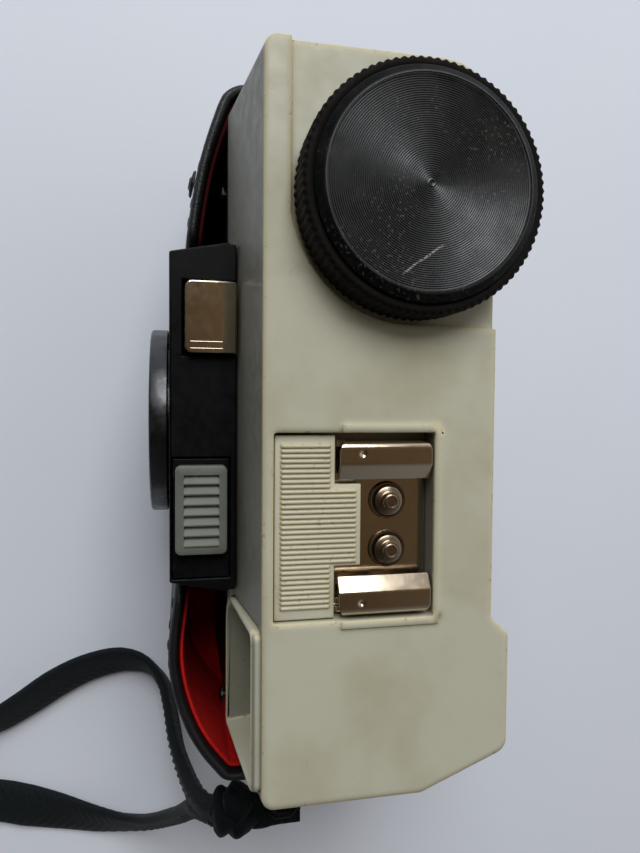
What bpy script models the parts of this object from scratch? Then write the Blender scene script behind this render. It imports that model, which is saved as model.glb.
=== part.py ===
"""Compact 35 mm viewfinder camera in its leather half-case, built piece by piece.

Frame: +Z is up, the lens looks along -Y and the finder is at the +X end. The origin lies on the flat
underside of the half-case, below the front edge of the camera's top plate. All dimensions below are in
millimetres, and MM turns them into Blender's metres where a mesh or a location is made.
"""
import math

import bmesh
import bpy
from mathutils import Matrix, Vector

MM = 0.001

# Body shell
HALF_LENGTH = 47.5
DEPTH = 30.4
WALL = 1.8
GAP = 0.3
TOP = 62.0
SPLIT = 39.6
BASE_LOW = 4.6
BASE_THICK = 1.7
FLOOR_THICK = 1.6
FRONT_LEAN = 0.13
LEAN_FADE = (2.0, 10.0)

# Advance wheel and film transport
WHEEL_X, WHEEL_Y = -29.05, 18.8
WHEEL_RADIUS = 15.25
WHEEL_LOW, WHEEL_HIGH = 61.4, 67.4
WHEEL_TEETH = 90
CAP_RADIUS = 13.8
WELL_FLOOR = 61.0
WELL_RADIUS = 15.7
WELL_FRONT = 3.3
WELL_EDGE_X = -13.1
GEAR_TEETH = 24
GEAR_MODULE = 0.5
GEAR_LOW, GEAR_HIGH = 56.9, 58.5
SPROCKET_X = WHEEL_X + GEAR_TEETH * GEAR_MODULE
SPOOL_LOW, SPOOL_HIGH = 9.3, 45.5
FILM_MIDDLE = 27.0
PERFORATION_SPAN = 28.2

# Accessory shoe in its recess
RECESS = (0.3, 24.1, 1.3, 22.1)
RECESS_FLOOR = 57.9
SHOE_X = 12.5
SHOE_HALF_WIDTH = 11.2
SHOE_Y = (9.7, 21.8)
SHOE_SHEET = 0.8
SHOE_TOP = 62.2
RIVET_Y = 16.7
RIVET_X = (9.3, 15.7)
RIBBED_PLATE = (0.8, 23.8, 1.65, 9.2)
RIB_SPAN = (1.7, 22.7)
RIBBED_TONGUE = (6.9, 17.3, 12.6)
RIB_COUNT = 33

# Lens block and lens
BLOCK_X = -1.05
BLOCK_HALF_BACK, BLOCK_HALF_FRONT = 24.7, 23.1
BLOCK_FRONT = -11.4
BLOCK_LOW, BLOCK_HIGH = 6.2, 48.0
BLOCK_WALL = 1.5
BLOCK_ROOF = 2.2
LENS_X, LENS_Z = -0.2, 27.0
BUTTON = (-20.0, -10.1, -9.3, -2.65)
BUTTON_LOW, BUTTON_HIGH = 45.4, 49.8
STEM_X, STEM_Y = -15.0, -6.0
PANEL = (4.6, 21.4, -10.9, -3.2)
SWITCH = (5.4, 17.8, -10.6, -3.5)
SWITCH_SLOT = (8.9, 17.4, -8.3, -5.8)
SHUTTER_Y = -8.9
BLADE_PIVOT = (9.0, 9.0)
BLADE_SHEET = 0.35

# Finder
HOOD = (25.25, 46.05, 40.9, 60.8)
HOOD_WALL = 0.9
HOOD_PROUD = (0.4, 1.1)
HOOD_ROUND = (4.4, 1.2, 1.6)
HOOD_STEPS = 3
WINDOW = (31.0, 41.0, 47.6, 56.4)
WINDOW_Y = 9.0
STEP_BACK = 32.9

# Rewind, base screws and tripod bush
REWIND_X, REWIND_Y = 33.0, 14.0
SCREW_PLACES = ((-42.0, 6.0), (42.0, 6.0), (-42.0, 24.5), (42.0, 24.5))
FRONT_SCREWS = (-36.0, 44.0)
FRONT_SCREW_Z = 35.4
TRIPOD_X, TRIPOD_Y = 0.0, 13.0

# Half-case and strap
CASE_RIM = 38.0
CASE_BOTTOM = 3.4
CASE_LEATHER = 1.6
LINING = 0.6
CASE_CORNERS = ((-52.6, 33.8, 5.0), (-52.6, -3.2, 5.0), (-39.5, -7.4, 14.0), (-27.0, -9.4, 30.0),
                (26.0, -10.6, 30.0), (37.5, -12.4, 9.0), (49.0, -9.6, 12.0), (57.6, -3.6, 4.5),
                (57.6, 33.8, 5.0))
CASE_NOTCH = (-26.8, 25.0)
SNAP = (-39.0, -7.78, 30.0)
SNAP_TURN = -12.1
NOTCH_LOW = 4.3
LUG_Y = (4.6, 8.8)
LUG_REACH = 7.6
LUG_Z = 35.4
STRAP_STEP = 6.4
STRAP_TUBE = 1.0
KNOT = (65.1, -1.2, 32.8)
KNOT_RADII = (4.0, 3.8, 3.6)
STRAP_ROUTE = ((65.0, -6.3, 30.2), (64.6, -8.2, 25.2), (62.2, -10.6, 16.4), (58.2, -11.9, 9.2), (54.7, -13.1, 5.4),
               (51.7, -15.6, 4.0), (49.9, -19.2, 3.6), (49.5, -23.2, 3.5), (50.8, -28.9, 3.5),
               (53.3, -34.3, 3.5), (56.8, -39.8, 3.5), (59.8, -45.0, 3.5), (62.4, -50.4, 3.8),
               (65.2, -55.6, 4.2), (69.2, -59.4, 4.4), (73.6, -59.6, 4.2), (76.2, -55.8, 3.0),
               (76.9, -50.8, 1.6), (77.5, -45.7, 1.1), (79.1, -40.4, 1.1), (80.9, -34.2, 1.4),
               (82.8, -26.8, 2.4), (83.2, -20.4, 4.2), (81.1, -15.4, 8.2), (76.2, -10.6, 15.0),
               (71.0, -7.5, 21.8), (68.2, -6.2, 27.0))

# Colours: linear red, green, blue
PUTTY = (0.60, 0.59, 0.50)
BLACK_PLASTIC = (0.020, 0.020, 0.021)
BLACK_METAL = (0.014, 0.014, 0.015)
NICKEL = (0.62, 0.57, 0.50)
STEEL = (0.50, 0.50, 0.50)
BRASS = (0.62, 0.45, 0.18)
GREY_PLASTIC = (0.16, 0.17, 0.16)
GLASS = (0.75, 0.82, 0.85)
LEATHER = (0.018, 0.018, 0.020)
RED_LINING = (0.42, 0.025, 0.02)
LACE = (0.025, 0.027, 0.030)


def clear_scene():
    for obj in list(bpy.data.objects):
        bpy.data.objects.remove(obj, do_unlink=True)


def new_collection(name):
    group = bpy.data.collections.new(name)
    bpy.context.scene.collection.children.link(group)
    return group


clear_scene()
PARTS = new_collection("compact_film_camera")
CUTTERS = new_collection("cutters")


# ---------------------------------------------------------------------------------- materials

def material(name, colour, roughness, metallic=0.0):
    mat = bpy.data.materials.new(name)
    mat.use_nodes = True
    shader = mat.node_tree.nodes["Principled BSDF"]
    shader.inputs["Base Color"].default_value = (*colour, 1.0)
    shader.inputs["Roughness"].default_value = roughness
    shader.inputs["Metallic"].default_value = metallic
    return mat


FINISHES = {
    "putty": (PUTTY, 0.5, 0.0),
    "black_plastic": (BLACK_PLASTIC, 0.45, 0.0),
    "black_metal": (BLACK_METAL, 0.35, 0.6),
    "nickel": (NICKEL, 0.22, 1.0),
    "steel": (STEEL, 0.3, 1.0),
    "brass": (BRASS, 0.3, 1.0),
    "grey_plastic": (GREY_PLASTIC, 0.5, 0.0),
    "glass": (GLASS, 0.05, 0.0),
    "leather": (LEATHER, 0.6, 0.0),
    "red_lining": (RED_LINING, 0.9, 0.0),
    "lace": (LACE, 0.85, 0.0),
}


def finish(obj, kind):
    """Give an object its own material of one of the named finishes."""
    obj.data.materials.clear()
    obj.data.materials.append(material(f"{obj.name}_{kind}", *FINISHES[kind]))
    return obj


# ---------------------------------------------------------------------------------- outlines

def rounded(corners, steps=5):
    """Closed outline through corners (x, y, fillet radius), with each fillet as an arc."""
    outline = []
    for i, (x, y, radius) in enumerate(corners):
        here = Vector((x, y))
        to_last = (Vector(corners[i - 1][:2]) - here).normalized()
        to_next = (Vector(corners[(i + 1) % len(corners)][:2]) - here).normalized()
        half = to_last.angle(to_next) / 2
        if radius <= 0 or half > math.radians(89):
            outline.append(here)
            continue
        middle = here + (to_last + to_next).normalized() * radius / math.sin(half)
        start = here + to_last * radius / math.tan(half) - middle
        turn = start.angle_signed(here + to_next * radius / math.tan(half) - middle)
        for k in range(steps + 1):
            swung = start.copy()
            swung.rotate(Matrix.Rotation(-turn * k / steps, 2))
            outline.append(middle + swung)
    return outline


def inset(corners, distance):
    """The same anticlockwise corners moved inwards, with their fillets kept concentric."""
    moved = []
    for i, (x, y, radius) in enumerate(corners):
        here = Vector((x, y))
        came = (here - Vector(corners[i - 1][:2])).normalized()
        goes = (Vector(corners[(i + 1) % len(corners)][:2]) - here).normalized()
        normals = Vector((-came.y, came.x)), Vector((-goes.y, goes.x))
        shift = (normals[0] + normals[1]) * distance / (1 + normals[0].dot(normals[1]))
        convex = came.x * goes.y - came.y * goes.x > 0
        kept = max(radius - distance, 0.0) if convex else radius + distance
        moved.append((x + shift.x, y + shift.y, kept if radius > 0 else 0.0))
    return moved


def rectangle(x0, x1, y0, y1, radius=0.0):
    return rounded([(x0, y0, radius), (x1, y0, radius), (x1, y1, radius), (x0, y1, radius)], 4)


def circle(radius, count=48):
    turns = [2 * math.pi * k / count for k in range(count)]
    return [Vector((radius * math.cos(t), radius * math.sin(t))) for t in turns]


def toothed(tip, root, teeth, tip_share=0.3, root_share=0.3, start=0.0):
    """Outline of a wheel with straight-sided teeth, each with a flat tip and a flat root."""
    outline = []
    pitch = 2 * math.pi / teeth
    for k in range(teeth):
        middle = start + k * pitch
        edges = ((-(1 - root_share) / 2, root), (-tip_share / 2, tip),
                 (tip_share / 2, tip), ((1 - root_share) / 2, root))
        for share, radius in edges:
            angle = middle + share * pitch
            outline.append(Vector((radius * math.cos(angle), radius * math.sin(angle))))
    return outline


def knurled(tip, root, teeth):
    """Outline of a fine knurl: pointed ridges with a groove between each pair."""
    turns = [math.pi * k / teeth for k in range(2 * teeth)]
    radii = [tip if k % 2 else root for k in range(2 * teeth)]
    return [Vector((r * math.cos(t), r * math.sin(t))) for r, t in zip(radii, turns)]


def strip_outline(path, thickness):
    """Closed outline of a bent sheet that follows a path, half its thickness to each side."""
    sides = ([], [])
    for i, point in enumerate(path):
        here = Vector(point)
        came = (here - Vector(path[max(i - 1, 0)])).normalized() if i else None
        goes = (Vector(path[i + 1]) - here).normalized() if i + 1 < len(path) else came
        came = came or goes
        normal = Vector((-came.y - goes.y, came.x + goes.x)).normalized()
        reach = thickness / 2 / max(normal.dot(Vector((-came.y, came.x))), 0.3)
        sides[0].append(here + normal * reach)
        sides[1].append(here - normal * reach)
    return sides[1] + sides[0][::-1]


# ---------------------------------------------------------------------------------- solids

PLANES = {
    "XY": Matrix.Identity(4),
    "XZ": Matrix(((1, 0, 0, 0), (0, 0, -1, 0), (0, 1, 0, 0), (0, 0, 0, 1))),
    "YZ": Matrix(((0, 0, 1, 0), (1, 0, 0, 0), (0, 1, 0, 0), (0, 0, 0, 1))),
}


def place(name, mesh, at, kind):
    """Object of a mesh at a point: a part with a finish, or a cutter when there is none."""
    obj = bpy.data.objects.new(name, mesh)
    obj.location = Vector(at) * MM
    if kind is None:
        CUTTERS.objects.link(obj)
        obj.hide_render = True
        obj.display_type = "WIRE"
        return obj
    PARTS.objects.link(obj)
    return finish(obj, kind)


def smooth(obj, degrees=35):
    obj.data.shade_smooth()
    obj.data.set_sharp_from_angle(angle=math.radians(degrees))
    return obj


def prism(name, outlines, thickness, at, kind=None, plane="XY"):
    """Flat outline, with any further outlines as holes, extruded to both sides of its plane."""
    curve = bpy.data.curves.new(name, "CURVE")
    curve.dimensions = "2D"
    curve.fill_mode = "BOTH"
    curve.extrude = thickness / 2 * MM
    for outline in outlines:
        spline = curve.splines.new("POLY")
        spline.points.add(len(outline) - 1)
        spline.use_cyclic_u = True
        for point, corner in zip(spline.points, outline):
            point.co = (corner[0] * MM, corner[1] * MM, 0.0, 1.0)
    holder = bpy.data.objects.new(name, curve)
    bpy.context.scene.collection.objects.link(holder)
    graph = bpy.context.evaluated_depsgraph_get()
    mesh = bpy.data.meshes.new_from_object(holder.evaluated_get(graph))
    bpy.data.objects.remove(holder)
    bpy.data.curves.remove(curve)
    shape = bmesh.new()
    shape.from_mesh(mesh)
    bmesh.ops.remove_doubles(shape, verts=shape.verts, dist=1e-7)
    bmesh.ops.transform(shape, matrix=PLANES[plane], verts=shape.verts)
    bmesh.ops.recalc_face_normals(shape, faces=shape.faces)
    shape.to_mesh(mesh)
    shape.free()
    mesh.name = name
    return place(name, mesh, at, kind)


def slab(name, outlines, low, high, kind=None):
    """Outline given in X and Y, solid between two heights."""
    return prism(name, outlines, high - low, (0.0, 0.0, (low + high) / 2), kind)


def box(name, x, y, z, kind=None):
    """Box between pairs of limits along each axis."""
    shape = bmesh.new()
    size = Vector((x[1] - x[0], y[1] - y[0], z[1] - z[0])) * MM
    bmesh.ops.create_cube(shape, size=1.0, matrix=Matrix.Diagonal((*size, 1.0)))
    mesh = bpy.data.meshes.new(name)
    shape.to_mesh(mesh)
    shape.free()
    middle = ((x[0] + x[1]) / 2, (y[0] + y[1]) / 2, (z[0] + z[1]) / 2)
    return place(name, mesh, middle, kind)


def turned(name, profile, at, kind=None, facing="+Z", steps=48, closed=False):
    """Turned solid: the profile's points (radius, height) run down the outer side."""
    mesh = bpy.data.meshes.new(name)
    points = [(r * MM, 0.0, h * MM) for r, h in profile]
    edges = [(i, i + 1) for i in range(len(points) - 1)]
    if closed:
        edges.append((len(points) - 1, 0))
    mesh.from_pydata(points, edges, [])
    obj = place(name, mesh, at, kind)
    if facing == "-Y":
        obj.rotation_euler = (math.radians(90), 0.0, 0.0)
    screw = obj.modifiers.new("turn", "SCREW")
    screw.steps = screw.render_steps = steps
    screw.use_merge_vertices = True
    screw.merge_threshold = 0.000001
    return obj


def cylinder(name, radius, low, high, at, kind=None, facing="+Z", steps=24):
    return turned(name, ((0.0, high), (radius, high), (radius, low), (0.0, low)), at, kind, facing, steps)


def ring(name, outer, inner, low, high, at, kind=None, facing="+Z", steps=48):
    """Turned ring with a plain rectangular section."""
    profile = ((inner, high), (outer, high), (outer, low), (inner, low))
    return turned(name, profile, at, kind, facing, steps, closed=True)


def sleeve(name, loops, kind):
    """Closed skin of a tube through loops of equally many points, round its wall and back to the first."""
    shape = bmesh.new()
    rows = [[shape.verts.new(Vector(corner) * MM) for corner in loop] for loop in loops]
    for row, after in zip(rows, rows[1:] + rows[:1]):
        for k in range(len(row)):
            ahead = (k + 1) % len(row)
            shape.faces.new((row[k], row[ahead], after[ahead], after[k]))
    bmesh.ops.recalc_face_normals(shape, faces=shape.faces)
    mesh = bpy.data.meshes.new(name)
    shape.to_mesh(mesh)
    shape.free()
    return place(name, mesh, (0.0, 0.0, 0.0), kind)


def combine(obj, tool, operation="DIFFERENCE"):
    """Cut a part with a cutter, or join a guide solid to it."""
    boolean = obj.modifiers.new(f"{operation.lower()}_{tool.name}", "BOOLEAN")
    boolean.operation = operation
    boolean.object = tool
    return obj


def cut(obj, *tools):
    for tool in tools:
        combine(obj, tool)
    return obj


def join(obj, *tools):
    for tool in tools:
        combine(obj, tool, "UNION")
    return obj


def soften(obj, width, segments=2, degrees=40):
    """Rounded edges wherever two faces meet at more than the given angle."""
    bevel = obj.modifiers.new("edges", "BEVEL")
    bevel.width = width * MM
    bevel.segments = segments
    bevel.limit_method = "ANGLE"
    bevel.angle_limit = math.radians(degrees)
    bevel.use_clamp_overlap = True
    return obj


def front_wall(z):
    """Y of the body's front surface: it leans forward down to the split, and is upright below."""
    return -FRONT_LEAN * (TOP - max(z, SPLIT))


def lean(obj):
    """Shear the front of a body piece so that it follows the leaning front wall."""
    near, far = LEAN_FADE
    for vertex in obj.data.vertices:
        place_mm = (obj.location + vertex.co) / MM
        share = min(max((far - place_mm.y) / (far - near), 0.0), 1.0)
        vertex.co.y += front_wall(place_mm.z) * share * MM
    return obj


# ---------------------------------------------------------------------------------- body shell

TOP_CORNERS = ((-HALF_LENGTH, 0.0, 1.6), (HALF_LENGTH, 0.0, 1.6), (HALF_LENGTH, 20.9, 1.0),
               (42.8, STEP_BACK, 2.0), (27.2, STEP_BACK, 0.8), (24.9, DEPTH, 1.0),
               (-HALF_LENGTH, DEPTH, 7.0))
BODY_CORNERS = ((-HALF_LENGTH, 0.0, 6.5), (HALF_LENGTH, 0.0, 3.0), (HALF_LENGTH, 20.9, 1.0),
                (43.8, DEPTH, 2.0), (-HALF_LENGTH, DEPTH, 7.0))


def hood_outline(margin):
    """Outline in X and Z of the finder hood, moved inwards by a margin."""
    x0, x1, z0, z1 = HOOD
    corners = ((x0, z0, HOOD_ROUND[0]), (x1, z0, HOOD_ROUND[1]), (x1, z1, HOOD_ROUND[1]), (x0, z1, HOOD_ROUND[2]))
    return rounded(inset(corners, margin), HOOD_STEPS)


def build_top_cover():
    """Upper shell with the wheel's well, the shoe's recess and the openings of the finder."""
    cover = lean(slab("top_cover", [rounded(TOP_CORNERS)], SPLIT + GAP, TOP, "putty"))
    inner = rounded(inset(TOP_CORNERS, WALL))
    ceiling = WELL_FLOOR - WALL
    room = lean(slab("cover_room", [inner], SPLIT - 2, RECESS_FLOOR - WALL))
    end, side, back = -HALF_LENGTH + WALL + 0.3, RECESS[0] - WALL, DEPTH - WALL - 0.3
    wheel_side = rounded(((end, WALL, 0.0), (side, WALL, 0.0), (side, back, 0.0), (end, back, 5.0)), 6)
    wheel_room = slab("cover_wheel_room", [wheel_side], RECESS_FLOOR - 2 * WALL, ceiling)
    finder_side = ((RECESS[1] + WALL, WALL, 0.0), (HALF_LENGTH - WALL, WALL, 0.0),
                   (HALF_LENGTH - WALL, 20.6, 0.0), (41.4, STEP_BACK - WALL, 0.0),
                   (28.4, STEP_BACK - WALL, 0.0), (RECESS[1] + WALL, DEPTH - WALL - 0.6, 0.0))
    finder_room = slab("cover_finder_room", [rounded(finder_side)], RECESS_FLOOR - 2 * WALL, ceiling)
    first = math.asin((WELL_FRONT - WHEEL_Y) / WELL_RADIUS)
    arc = [first * (1 - k / 14) for k in range(15)]
    well = [(WHEEL_X + WELL_RADIUS * math.cos(t), WHEEL_Y + WELL_RADIUS * math.sin(t)) for t in arc]
    well += [(WELL_EDGE_X, DEPTH + 2), (-HALF_LENGTH - 2, DEPTH + 2), (-HALF_LENGTH - 2, WELL_FRONT)]
    well_cutter = slab("wheel_well", [well], WELL_FLOOR, TOP + 1)
    shaft_hole = cylinder("wheel_shaft_hole", 4.2, ceiling - 1, TOP, (WHEEL_X, WHEEL_Y, 0.0))
    recess = slab("shoe_recess", [rectangle(*RECESS, 0.4)], RECESS_FLOOR, TOP + 1)
    rivet_holes = [cylinder(f"rivet_hole_{i}", 1.4, RECESS_FLOOR - 3, RECESS_FLOOR + 1,
                            (x, RIVET_Y, 0.0)) for i, x in enumerate(RIVET_X)]
    hood_hole = prism("hood_hole", [hood_outline(-GAP)], 12.0, (0.0, 0.0, 0.0), None, "XZ")
    eye_hole = box("eyepiece_hole", (WINDOW[0] - 0.9, WINDOW[1] + 0.9), (28.0, STEP_BACK + 2),
                   (WINDOW[2] - 0.9, WINDOW[3] + 0.9))
    bead = [(9.9, -0.7), (22.9, -0.7), (22.9, 25.1), (9.9, 25.1),
            (9.9, RECESS[1]), (RECESS[3], RECESS[1]), (RECESS[3], RECESS[0]), (9.9, RECESS[0])]
    bead_bar = slab("recess_bead", [[(x, y) for y, x in bead]], TOP - 1, TOP + 0.35)
    join(cover, bead_bar)
    cut(cover, room, wheel_room, finder_room, well_cutter, shaft_hole, recess, *rivet_holes,
        hood_hole, eye_hole)
    return cover


def build_lower_body():
    """Black lower shell, open at the back, with the lens hole in its leaning front wall."""
    low = BASE_LOW + BASE_THICK + GAP
    body = lean(slab("lower_body", [rounded(BODY_CORNERS)], low, SPLIT, "black_plastic"))
    room = lean(slab("body_room", [rounded(inset(BODY_CORNERS, WALL))], low + FLOOR_THICK, SPLIT + 2))
    back = box("body_back_opening", (-40.2, 42.4), (26.0, DEPTH + 3), (low + FLOOR_THICK, SPLIT + 2))
    lens_hole = cylinder("lens_hole", 9.5, -4, 12, (LENS_X, 0.0, LENS_Z), facing="-Y")
    holes = [cylinder(f"body_screw_hole_{i}", 1.4, low - 2, low + 3, (x, y, 0.0), steps=12)
             for i, (x, y) in enumerate(SCREW_PLACES)]
    rewind = cylinder("body_rewind_hole", 2.1, low - 2, low + 3, (REWIND_X, REWIND_Y, 0.0))
    bush = cylinder("body_bush_hole", 5.1, low - 2, low + 3, (TRIPOD_X, TRIPOD_Y, 0.0))
    fronts = [cylinder(f"front_screw_hole_{i}", 0.9, -1, 6, (x, 0.0, FRONT_SCREW_Z), facing="-Y", steps=12)
              for i, x in enumerate(FRONT_SCREWS)]
    return cut(body, room, back, lens_hole, rewind, bush, *holes, *fronts)


def build_base_and_back():
    high = BASE_LOW + BASE_THICK
    base = lean(slab("base_plate", [rounded(inset(BODY_CORNERS, 0.6))], BASE_LOW, high, "black_plastic"))
    knob_hole = cylinder("knob_hole", 7.4, BASE_LOW - 1, high + 1, (REWIND_X, REWIND_Y, 0.0))
    bush_hole = cylinder("bush_hole", 4.8, BASE_LOW - 1, high + 1, (TRIPOD_X, TRIPOD_Y, 0.0))
    holes = [cylinder(f"base_screw_hole_{i}", 1.9, BASE_LOW - 1, high + 1, (x, y, 0.0), steps=12)
             for i, (x, y) in enumerate(SCREW_PLACES)]
    cut(base, knob_hole, bush_hole, *holes)
    floor = high + GAP + FLOOR_THICK
    box("rear_cover", (-39.9, 42.1), (DEPTH - 1.6, DEPTH), (floor + GAP, SPLIT - GAP), "black_plastic")
    ring("tripod_bush", 4.5, 3.3, BASE_LOW + 0.1, BASE_LOW + 6.4, (TRIPOD_X, TRIPOD_Y, 0.0), "brass",
         steps=24)
    for i, (x, y) in enumerate(SCREW_PLACES):
        screw = ((0.0, 5.2), (1.0, 5.2), (1.0, 1.2), (1.6, 1.2), (1.6, 0.0), (0.0, 0.0))
        turned(f"base_screw_{i + 1}", screw, (x, y, BASE_LOW + 0.2), "steel", steps=12)
    for i, x in enumerate(FRONT_SCREWS):
        wall = -front_wall(FRONT_SCREW_Z)
        head = ((0.0, 0.9), (0.9, 0.9), (1.3, 0.6), (1.3, 0.3), (0.6, 0.3), (0.6, -3.2), (0.0, -3.2))
        turned(f"front_screw_{i + 1}", [(r, h + wall) for r, h in head],
               (x, 0.0, FRONT_SCREW_Z), "steel", "-Y", 14)


# ---------------------------------------------------------------------------------- film transport

def build_wheel():
    """Knurled advance wheel with its cap, shaft, bush, gear and the take-up spool on one axis."""
    axis = (WHEEL_X, WHEEL_Y, 0.0)
    knurl = knurled(WHEEL_RADIUS, WHEEL_RADIUS - 0.4, WHEEL_TEETH)
    middle = (WHEEL_LOW + WHEEL_HIGH) / 2
    rim = prism("wheel_rim", [knurl, circle(2.4, 24)], WHEEL_HIGH - WHEEL_LOW,
                (WHEEL_X, WHEEL_Y, middle), "black_metal")
    pocket = ring("wheel_pocket", 12.4, 5.0, WHEEL_LOW - 1, WHEEL_HIGH - 2.0, axis)
    cut(rim, pocket)
    cap = ((0.0, 68.3), (12.4, 68.3), (12.8, 68.6), (13.3, 68.6), (CAP_RADIUS, 68.1),
           (CAP_RADIUS, WHEEL_HIGH + GAP), (0.0, WHEEL_HIGH + GAP))
    smooth(turned("wheel_cap", cap, axis, "black_metal", steps=48))
    cylinder("wheel_shaft", 2.0, 38.5, WHEEL_HIGH, axis, "steel", steps=24)
    ring("wheel_bush", 3.9, 2.3, WELL_FLOOR - WALL, WELL_FLOOR, axis, "brass", steps=24)
    spool = ((2.4, SPOOL_HIGH), (6.0, SPOOL_HIGH), (6.0, SPOOL_HIGH - 1.2), (4.0, SPOOL_HIGH - 1.2),
             (4.0, SPOOL_LOW + 1.2), (6.0, SPOOL_LOW + 1.2), (6.0, SPOOL_LOW), (2.4, SPOOL_LOW))
    turned("takeup_spool", spool, axis, "black_plastic", steps=20, closed=True)
    tip = GEAR_MODULE * (GEAR_TEETH / 2 + 0.8)
    root = GEAR_MODULE * (GEAR_TEETH / 2 - 1.3)
    middle = (GEAR_LOW + GEAR_HIGH) / 2
    for name, x, bore, start in (("wheel_gear", WHEEL_X, 2.3, 0.0),
                                 ("sprocket_gear", SPROCKET_X, 1.8, math.pi / GEAR_TEETH)):
        teeth = toothed(tip, root, GEAR_TEETH, 0.2, 0.3, start)
        prism(name, [teeth, circle(bore, 20)], GEAR_HIGH - GEAR_LOW, (x, WHEEL_Y, middle), "brass")


def build_sprocket():
    """Film sprocket: a roller with a row of teeth for each row of perforations."""
    roller = ((0.0, 59.0), (1.5, 59.0), (1.5, 43.0), (4.5, 43.0), (4.5, 11.0), (1.5, 11.0),
              (1.5, 8.8), (0.0, 8.8))
    sprocket = turned("sprocket_roller", roller, (SPROCKET_X, WHEEL_Y, 0.0), "black_plastic", steps=24)
    for side in (-1, 1):
        row = toothed(5.6, 4.2, 6, 0.08, 0.8)
        height = FILM_MIDDLE + side * PERFORATION_SPAN / 2
        join(sprocket, prism(f"sprocket_row_{side}", [row], 1.2, (SPROCKET_X, WHEEL_Y, height)))
    return sprocket


def build_rewind():
    """Coin-slotted rewind knob in the base and the fork that turns the film cartridge."""
    axis = (REWIND_X, REWIND_Y, 0.0)
    low = BASE_LOW + 0.2
    knob = cylinder("rewind_knob", 7.0, low, low + 1.5, axis, "black_metal", steps=28)
    cut(knob, box("knob_slot", (REWIND_X - 5, REWIND_X + 5), (REWIND_Y - 0.7, REWIND_Y + 0.7),
                  (low - 1, low + 0.7)))
    fork = cylinder("rewind_fork", 1.7, low + 1.8, 13.0, axis, "steel", steps=20)
    join(fork, box("fork_blade", (REWIND_X - 3, REWIND_X + 3), (REWIND_Y - 0.6, REWIND_Y + 0.6),
                   (9.6, 13.6)))


def build_film_path():
    """Light chamber, film gate, and the sprung pressure plate behind the film."""
    gate = [rectangle(-10.8, 16.0, 8.8, 45.6), rectangle(-9.2, 8.8, 15.0, 39.0)]
    prism("film_gate", gate, 1.8, (0.0, 21.5, 0.0), "black_metal", "XZ")

    def frame(half_x, half_z, y):
        return [(LENS_X + sx * half_x, y, LENS_Z + sz * half_z) for sx, sz in
                ((-1, -1), (1, -1), (1, 1), (-1, 1))]
    sleeve("light_chamber", (frame(8.0, 8.0, 2.6), frame(10.0, 13.0, 20.3),
                             frame(9.2, 12.2, 20.3), frame(7.2, 7.2, 2.6)), "black_plastic")
    box("pressure_plate", (-11.0, 12.0), (22.8, 23.6), (10.0, 44.0), "black_metal")
    bow = [(x, 28.0 - 3.3 * math.cos(math.pi * (x / 14.0) / 2) ** 2) for x in range(-14, 15, 2)]
    prism("pressure_spring", [strip_outline(bow, 0.4)], 12.0, (0.5, 0.0, FILM_MIDDLE), "steel")


# ---------------------------------------------------------------------------------- accessory shoe

def build_shoe():
    """Folded sheet shoe on two studs, with the ribbed plate in front of it."""
    edge = SHOE_HALF_WIDTH - SHOE_SHEET / 2
    low = RECESS_FLOOR + GAP + SHOE_SHEET / 2
    high = SHOE_TOP - SHOE_SHEET / 2
    half = ((edge - 4.5, high - 1.5), (edge - 3.2, high - 0.6), (edge - 2.1, high), (edge - 0.4, high),
            (edge, high - 0.4), (edge, low + 0.4), (edge - 0.4, low))
    path = [(-x, z) for x, z in half] + [(x, z) for x, z in reversed(half)]
    length = SHOE_Y[1] - SHOE_Y[0]
    shoe = prism("accessory_shoe", [strip_outline(path, SHOE_SHEET)], length,
                 (SHOE_X, (SHOE_Y[0] + SHOE_Y[1]) / 2, 0.0), "nickel", "XZ")
    cut(shoe, *[cylinder(f"shoe_hole_{i}", 1.4, low - 2, low + 2, (x, RIVET_Y, 0.0))
                for i, x in enumerate(RIVET_X)])
    seat = low + SHOE_SHEET / 2
    for i, x in enumerate(RIVET_X):
        ring(f"shoe_washer_{i + 1}", 2.45, 1.4, seat + 0.1, seat + 0.5, (x, RIVET_Y, 0.0), "nickel",
             steps=20)
        stud = ((0.0, seat + 2.3), (0.9, seat + 2.3), (1.15, seat + 2.05), (1.15, seat + 1.3),
                (1.9, seat + 1.2), (1.9, seat + 0.7), (1.1, seat + 0.7), (1.1, RECESS_FLOOR - 2.6),
                (0.0, RECESS_FLOOR - 2.6))
        smooth(turned(f"shoe_stud_{i + 1}", stud, (x, RIVET_Y, 0.0), "nickel", steps=20))
    build_ribbed_plate(seat + GAP)


def build_ribbed_plate(low):
    x0, x1, y0, y1 = RIBBED_PLATE
    pitch = (RIB_SPAN[1] - RIB_SPAN[0]) / RIB_COUNT
    crest, root = 61.5, 61.2
    comb = [(x0, root), (x0, low), (x1, low), (x1, root)]
    for k in reversed(range(RIB_COUNT)):
        left = RIB_SPAN[0] + k * pitch
        comb += [(left + 0.9 * pitch, crest), (left + 0.5 * pitch, crest),
                 (left + 0.4 * pitch, root), (left, root)]
    tongue = RIBBED_TONGUE[2]
    plate = prism("shoe_ribbed_plate", [comb], tongue - y0, (0.0, (y0 + tongue) / 2, 0.0), "putty", "XZ")
    for side, limits in (("left", (x0 - 1, RIBBED_TONGUE[0])), ("right", (RIBBED_TONGUE[1], x1 + 1))):
        cut(plate, box(f"tongue_{side}", limits, (y1, tongue + 1), (low - 1, crest + 1)))
    return plate


# ---------------------------------------------------------------------------------- lens block

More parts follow.
